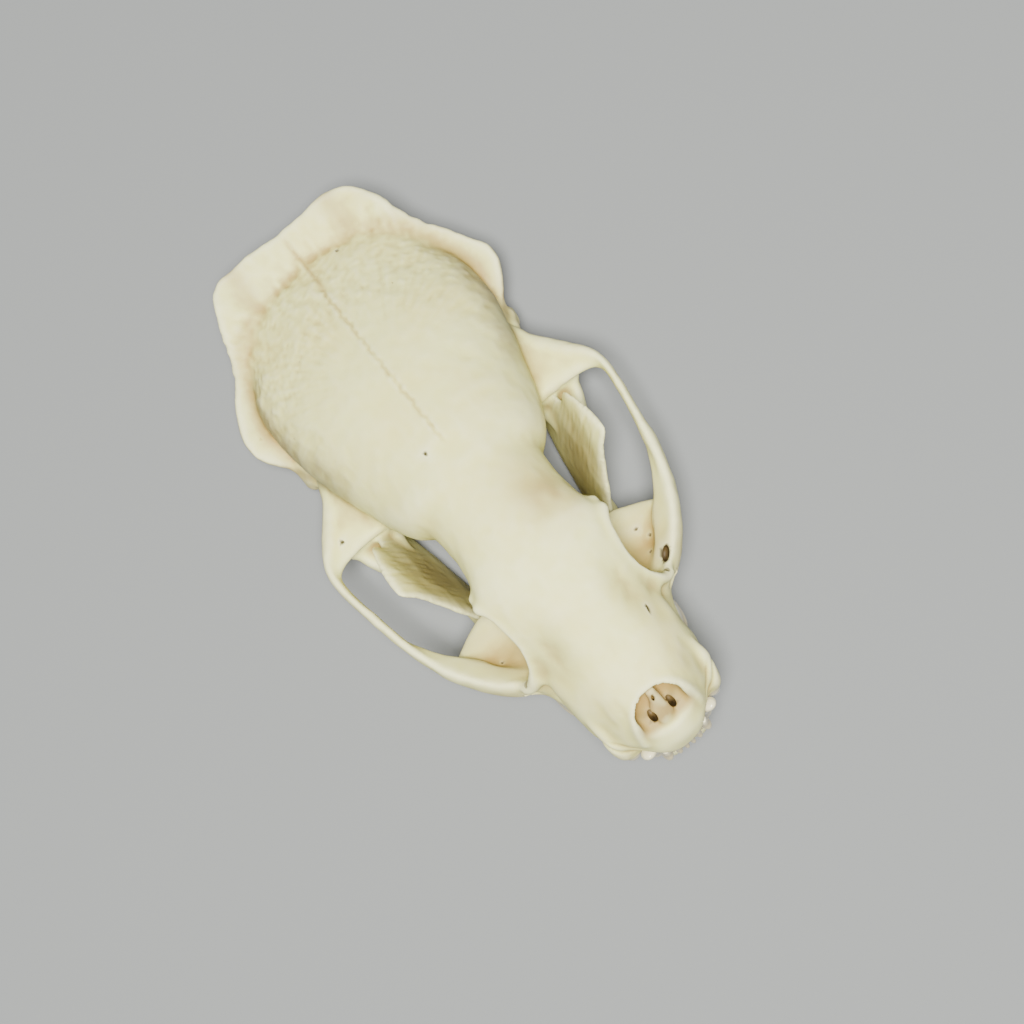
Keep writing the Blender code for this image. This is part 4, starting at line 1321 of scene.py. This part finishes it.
def mark_cranium(obj):
    """Stores where the bone is stained tan, and where it carries painted shade in tan."""
    points, normals = points_of(obj), normals_of(obj)
    place, up = folded(points), normals[:, 2]
    stain_and_shade = nose_stain(points) + flank_shade(points, up) + seam_stain(points)
    for row in SOCKET_STAIN_AND_SHADE:
        stain_and_shade += spot(place, *row)
    for row in HIGH_SHADES:
        stain_and_shade += high_spot(place, *row)
    stain_and_shade += high_spot(place, *BULGE_STAIN) * (1 - ramp(place[:, 2], 3.0, 6.0))
    stain_and_shade += spot(place, *SHELF_STAIN) * (up > 0)
    blotch = 0.75 + 0.6 * noise(points, 1.6, 41)
    stain_and_shade += high_spot(points, *BROW_PATCH) * blotch + high_spot(points, *BROW_TINT)
    # Painted shade in tan on surfaces that face down.
    stain_and_shade += UNDERSIDE_SHADE * ramp(-up, 0.0, 0.8)
    add_attribute(obj, "stain_and_shade", np.clip(stain_and_shade, 0, 1))


def mark_jaw(obj):
    """Stores where the jaw is stained tan, and the painted shade, tan and dark, on the inside of its blade.
    """
    points, normals = points_of(obj), normals_of(obj)
    s, z = points[:, 1], points[:, 2]
    inside = jaw_faces(points, normals)[0]
    stain_and_shade = inside * on_blade(points, *BLADE_TAN_SHADE) * (1 - ramp(z, 6.0, 12.0))
    stain_and_shade += 0.2 * near(z + 4.0, 1.0) * (s < 26)
    # Painted shade in tan on surfaces that face down.
    stain_and_shade += JAW_UNDERSIDE_SHADE * ramp(-normals[:, 2], 0.0, 0.8)
    add_attribute(obj, "stain_and_shade", np.clip(stain_and_shade, 0, 1))
    add_attribute(obj, "painted_shade", inside * on_blade(points, *BLADE_SHADE) * (1 - ramp(z, 6.5, 11.5)))


def mark_teeth(obj, gum):
    """Stores the yellow band where each tooth meets the bone."""
    add_attribute(obj, "stain_and_shade", GUM_STAIN * near(points_of(obj)[:, 2] - gum, 0.9))


def linear(hex_colour):
    """An sRGB hex value as the linear colour that a shader takes."""
    channels = [int(hex_colour[i : i + 2], 16) / 255 for i in (0, 2, 4)]
    spread_out = [c / 12.92 if c <= 0.04045 else ((c + 0.055) / 1.055) ** 2.4 for c in channels]
    return (*spread_out, 1.0)


def node(tree, kind, settings=None, **links):
    """Adds a node; settings are its own properties, and links are its inputs by name or as _0, _1."""
    made = tree.nodes.new(kind)
    for key, value in (settings or {}).items():
        setattr(made, key, value)
    for key, value in links.items():
        socket = made.inputs[int(key[1:]) if key[0] == "_" else key.replace("_", " ")]
        if isinstance(value, bpy.types.NodeSocket):
            tree.links.new(value, socket)
        else:
            socket.default_value = value
    return made


def new_material(name):
    made = bpy.data.materials.new(name)
    made.use_nodes = True
    tree = made.node_tree
    return made, tree, tree.nodes["Principled BSDF"]


def set_inputs(shader, values):
    for key, value in values.items():
        shader.inputs[key].default_value = value


def tinted(tree, colour, level, strength, tint):
    """The colour turned towards a tint, as far as a level and a strength say."""
    share = node(tree, "ShaderNodeMath", {"operation": "MULTIPLY", "use_clamp": True}, _0=level, _1=strength)
    mix = node(tree, "ShaderNodeMix", {"data_type": "RGBA"}, _0=share.outputs[0], _6=colour, _7=linear(tint))
    return mix.outputs[2]


BONE_IVORY = "E9E698"
BONE_WARM = "E9DD88"
BONE_TAN = "9E7C40"
BONE_EDGE_HIGHLIGHT = "F8F4C8"
# Dark brown for the painted shade.
BONE_SHADE_BROWN = "3A2C18"
# The tints laid over the bone in turn, each where its stored mark is high, after the tan painted as shade in
# the hollows.
BONE_TINTS = (
    ("edge", 0.55, BONE_EDGE_HIGHLIGHT),
    ("stain_and_shade", 0.85, BONE_TAN),
    ("painted_shade", 0.9, BONE_SHADE_BROWN),
)
CLOUD_SHARE = 0.55
CLOUD_RANGE = (0.38, 0.66)
# The share of tan painted as shade in the hollows, and the least roughness.
CRANIUM_BONE = (0.75, 0.45)
JAW_BONE = (0.8, 0.48)
GRAIN_ROUGHNESS = 0.22

# Patterns, with scales from their widths in millimetres: clouds of warmer bone, grain, low bumps and the
# streaks in enamel. Real grain and streaks are some hundredths of a millimetre wide, too fine to show in
# the render, so they are drawn about ten times as wide.
PATTERN = "ShaderNodeTexNoise"
BONE_CLOUDS = {"Scale": 1 / (7.7 * MM), "Detail": 3.0, "Roughness": 0.55}
BONE_GRAIN = {"Scale": 1 / (0.417 * MM), "Detail": 4.0, "Roughness": 0.6}
BONE_BUMPS = {"Scale": 1 / (1.11 * MM), "Detail": 5.0, "Roughness": 0.62}
BONE_BUMP_SIZE = {"Strength": 0.22, "Distance": 0.12 * MM}
BONE_FINISH = {
    "Specular IOR Level": 0.25,
    "Subsurface Weight": 0.05,
    "Subsurface Radius": (1.0, 0.7, 0.45),
    "Subsurface Scale": 1.2 * MM,
}

ENAMEL_WHITE = "E8E0BC"
ENAMEL_STREAK = "D8CA9C"
ENAMEL_ROOT = "9E8A58"
STREAK_SHARE = 0.3
ROOT_SHARE = 0.7
ENAMEL_STREAKS = {"Scale": 1 / (1.43 * MM), "Detail": 3.0}
ENAMEL_BUMP_SIZE = {"Strength": 0.08, "Distance": 0.08 * MM}
ENAMEL_FINISH = {"Roughness": 0.22, "Coat Weight": 0.3}

FLOOR_FINISH = {"Base Color": linear("818282"), "Roughness": 0.85}


def bone_material(name, hollow_shade_share, least_roughness):
    """Degreased and bleached bone: satin ivory, with painted shade in tan in its hollows and a painted
    highlight on thin edges.
    """
    made, tree, shader = new_material(name)
    place = node(tree, "ShaderNodeTexCoord").outputs["Object"]
    low, high = CLOUD_RANGE
    cloud = node(tree, PATTERN, None, Vector=place, **BONE_CLOUDS).outputs["Fac"]
    spread_out = node(tree, "ShaderNodeMapRange", None, Value=cloud, From_Min=low, From_Max=high)
    colour = tinted(tree, linear(BONE_IVORY), spread_out.outputs["Result"], CLOUD_SHARE, BONE_WARM)
    for mark, strength, tint in (("hollow", hollow_shade_share, BONE_TAN), *BONE_TINTS):
        level = node(tree, "ShaderNodeAttribute", {"attribute_name": mark}).outputs["Fac"]
        colour = tinted(tree, colour, level, strength, tint)
    grain = node(tree, PATTERN, None, Vector=place, **BONE_GRAIN).outputs["Fac"]
    clamped_sum = {"operation": "MULTIPLY_ADD", "use_clamp": True}
    roughness = node(tree, "ShaderNodeMath", clamped_sum, _0=grain, _1=GRAIN_ROUGHNESS, _2=least_roughness)
    bumps = node(tree, PATTERN, None, Vector=place, **BONE_BUMPS).outputs["Fac"]
    bump = node(tree, "ShaderNodeBump", None, Height=bumps, **BONE_BUMP_SIZE)
    tree.links.new(colour, shader.inputs["Base Color"])
    tree.links.new(roughness.outputs[0], shader.inputs["Roughness"])
    tree.links.new(bump.outputs["Normal"], shader.inputs["Normal"])
    set_inputs(shader, BONE_FINISH)
    return made


def enamel_material():
    """Tooth enamel: milk white and glossy, yellower towards the root."""
    made, tree, shader = new_material("glossy enamel")
    place = node(tree, "ShaderNodeTexCoord").outputs["Object"]
    streak = node(tree, PATTERN, None, Vector=place, **ENAMEL_STREAKS).outputs["Fac"]
    stain_and_shade = node(tree, "ShaderNodeAttribute", {"attribute_name": "stain_and_shade"}).outputs["Fac"]
    colour = tinted(tree, linear(ENAMEL_WHITE), streak, STREAK_SHARE, ENAMEL_STREAK)
    colour = tinted(tree, colour, stain_and_shade, ROOT_SHARE, ENAMEL_ROOT)
    bump = node(tree, "ShaderNodeBump", None, Height=streak, **ENAMEL_BUMP_SIZE)
    tree.links.new(colour, shader.inputs["Base Color"])
    tree.links.new(bump.outputs["Normal"], shader.inputs["Normal"])
    set_inputs(shader, ENAMEL_FINISH)
    return made


def floor_material():
    """Matte paper: pale and even, with no shine, so that it takes a soft shadow."""
    made, _, shader = new_material("matte studio floor")
    set_inputs(shader, FLOOR_FINISH)
    return made


def dress(obj, material):
    obj.data.materials.clear()
    obj.data.materials.append(material)
    obj.data.shade_smooth()


def build_skull():
    cranium = make_cranium()
    upper = make_teeth("upper_teeth", UPPER_TEETH, UPPER_GUM, -1, "both")
    jaws = [make_jaw(1), make_jaw(-1)]
    lowers = [
        make_teeth("lower_teeth_left", LOWER_TEETH, LOWER_GUM, 1, "left"),
        make_teeth("lower_teeth_right", LOWER_TEETH, LOWER_GUM, 1, "right"),
    ]
    mark_cranium(cranium)
    mark_painted_shade(cranium)
    mark_teeth(upper, UPPER_GUM)
    for obj in jaws:
        mark_jaw(obj)
    for obj in lowers:
        mark_teeth(obj, LOWER_GUM)
    for obj in [cranium] + jaws:
        mark_hollow_shade_and_edge_highlight(obj)
    everything = [cranium, upper] + jaws + lowers
    for obj in everything:
        to_rest(obj)
    centre(everything)
    bone = bone_material("bleached bone", *CRANIUM_BONE)
    jaw_bone = bone_material("bleached jaw bone", *JAW_BONE)
    enamel = enamel_material()
    dress(cranium, bone)
    for obj in jaws:
        dress(obj, jaw_bone)
    for obj in [upper] + lowers:
        dress(obj, enamel)
    for obj in everything:
        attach(obj, "root")
    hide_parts("braincase", "rostrum", "zygomatic_arch_left", "zygomatic_arch_right")
    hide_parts("mandible_left")
    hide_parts("mandible_right")


def stage_floor():
    mesh = bmesh.new()
    bmesh.ops.create_grid(mesh, x_segments=1, y_segments=1, size=FLOOR_HALF_SIZE)
    floor = as_object("studio_floor", mesh)
    floor.data.materials.append(floor_material())


def area_light(name, place, size, power, colour):
    data = bpy.data.lights.new(name, "AREA")
    data.shape = "DISK"
    data.size = size
    data.energy = power
    data.color = colour
    lamp = bpy.data.objects.new(name, data)
    lamp.location = place
    lamp.rotation_mode = "QUATERNION"
    lamp.rotation_quaternion = (Vector(place) - Vector(LIGHT_AIM)).to_track_quat("Z", "Y")
    bpy.context.scene.collection.objects.link(lamp)


def lights():
    for light in LIGHTS:
        area_light(*light)
    world = bpy.data.worlds.new("studio")
    world.use_nodes = True
    back = world.node_tree.nodes["Background"]
    back.inputs["Color"].default_value = WORLD_COLOUR
    back.inputs["Strength"].default_value = WORLD_STRENGTH
    bpy.context.scene.world = world


def camera():
    """Looks down on the skull, rolled so that its long axis lies across the picture as in the photograph."""
    data = bpy.data.cameras.new("camera")
    data.sensor_width = SENSOR
    data.lens = FOCAL_PIXELS * SENSOR / PICTURE_PIXELS
    data.clip_start, data.clip_end = CAMERA_CLIP
    made = bpy.data.objects.new("camera", data)
    away = Vector((0, -math.cos(CAMERA_ELEVATION), math.sin(CAMERA_ELEVATION)))
    made.location = Vector(CAMERA_AIM) + away * CAMERA_DISTANCE
    made.rotation_mode = "QUATERNION"
    level = away.to_track_quat("Z", "Y")
    turn = Vector((math.sin(CAMERA_ROLL), math.cos(CAMERA_ROLL), 0)).to_track_quat("Y", "Z")
    made.rotation_quaternion = level @ turn
    bpy.context.scene.collection.objects.link(made)
    bpy.context.scene.camera = made


build_skull()
stage_floor()
lights()
camera()
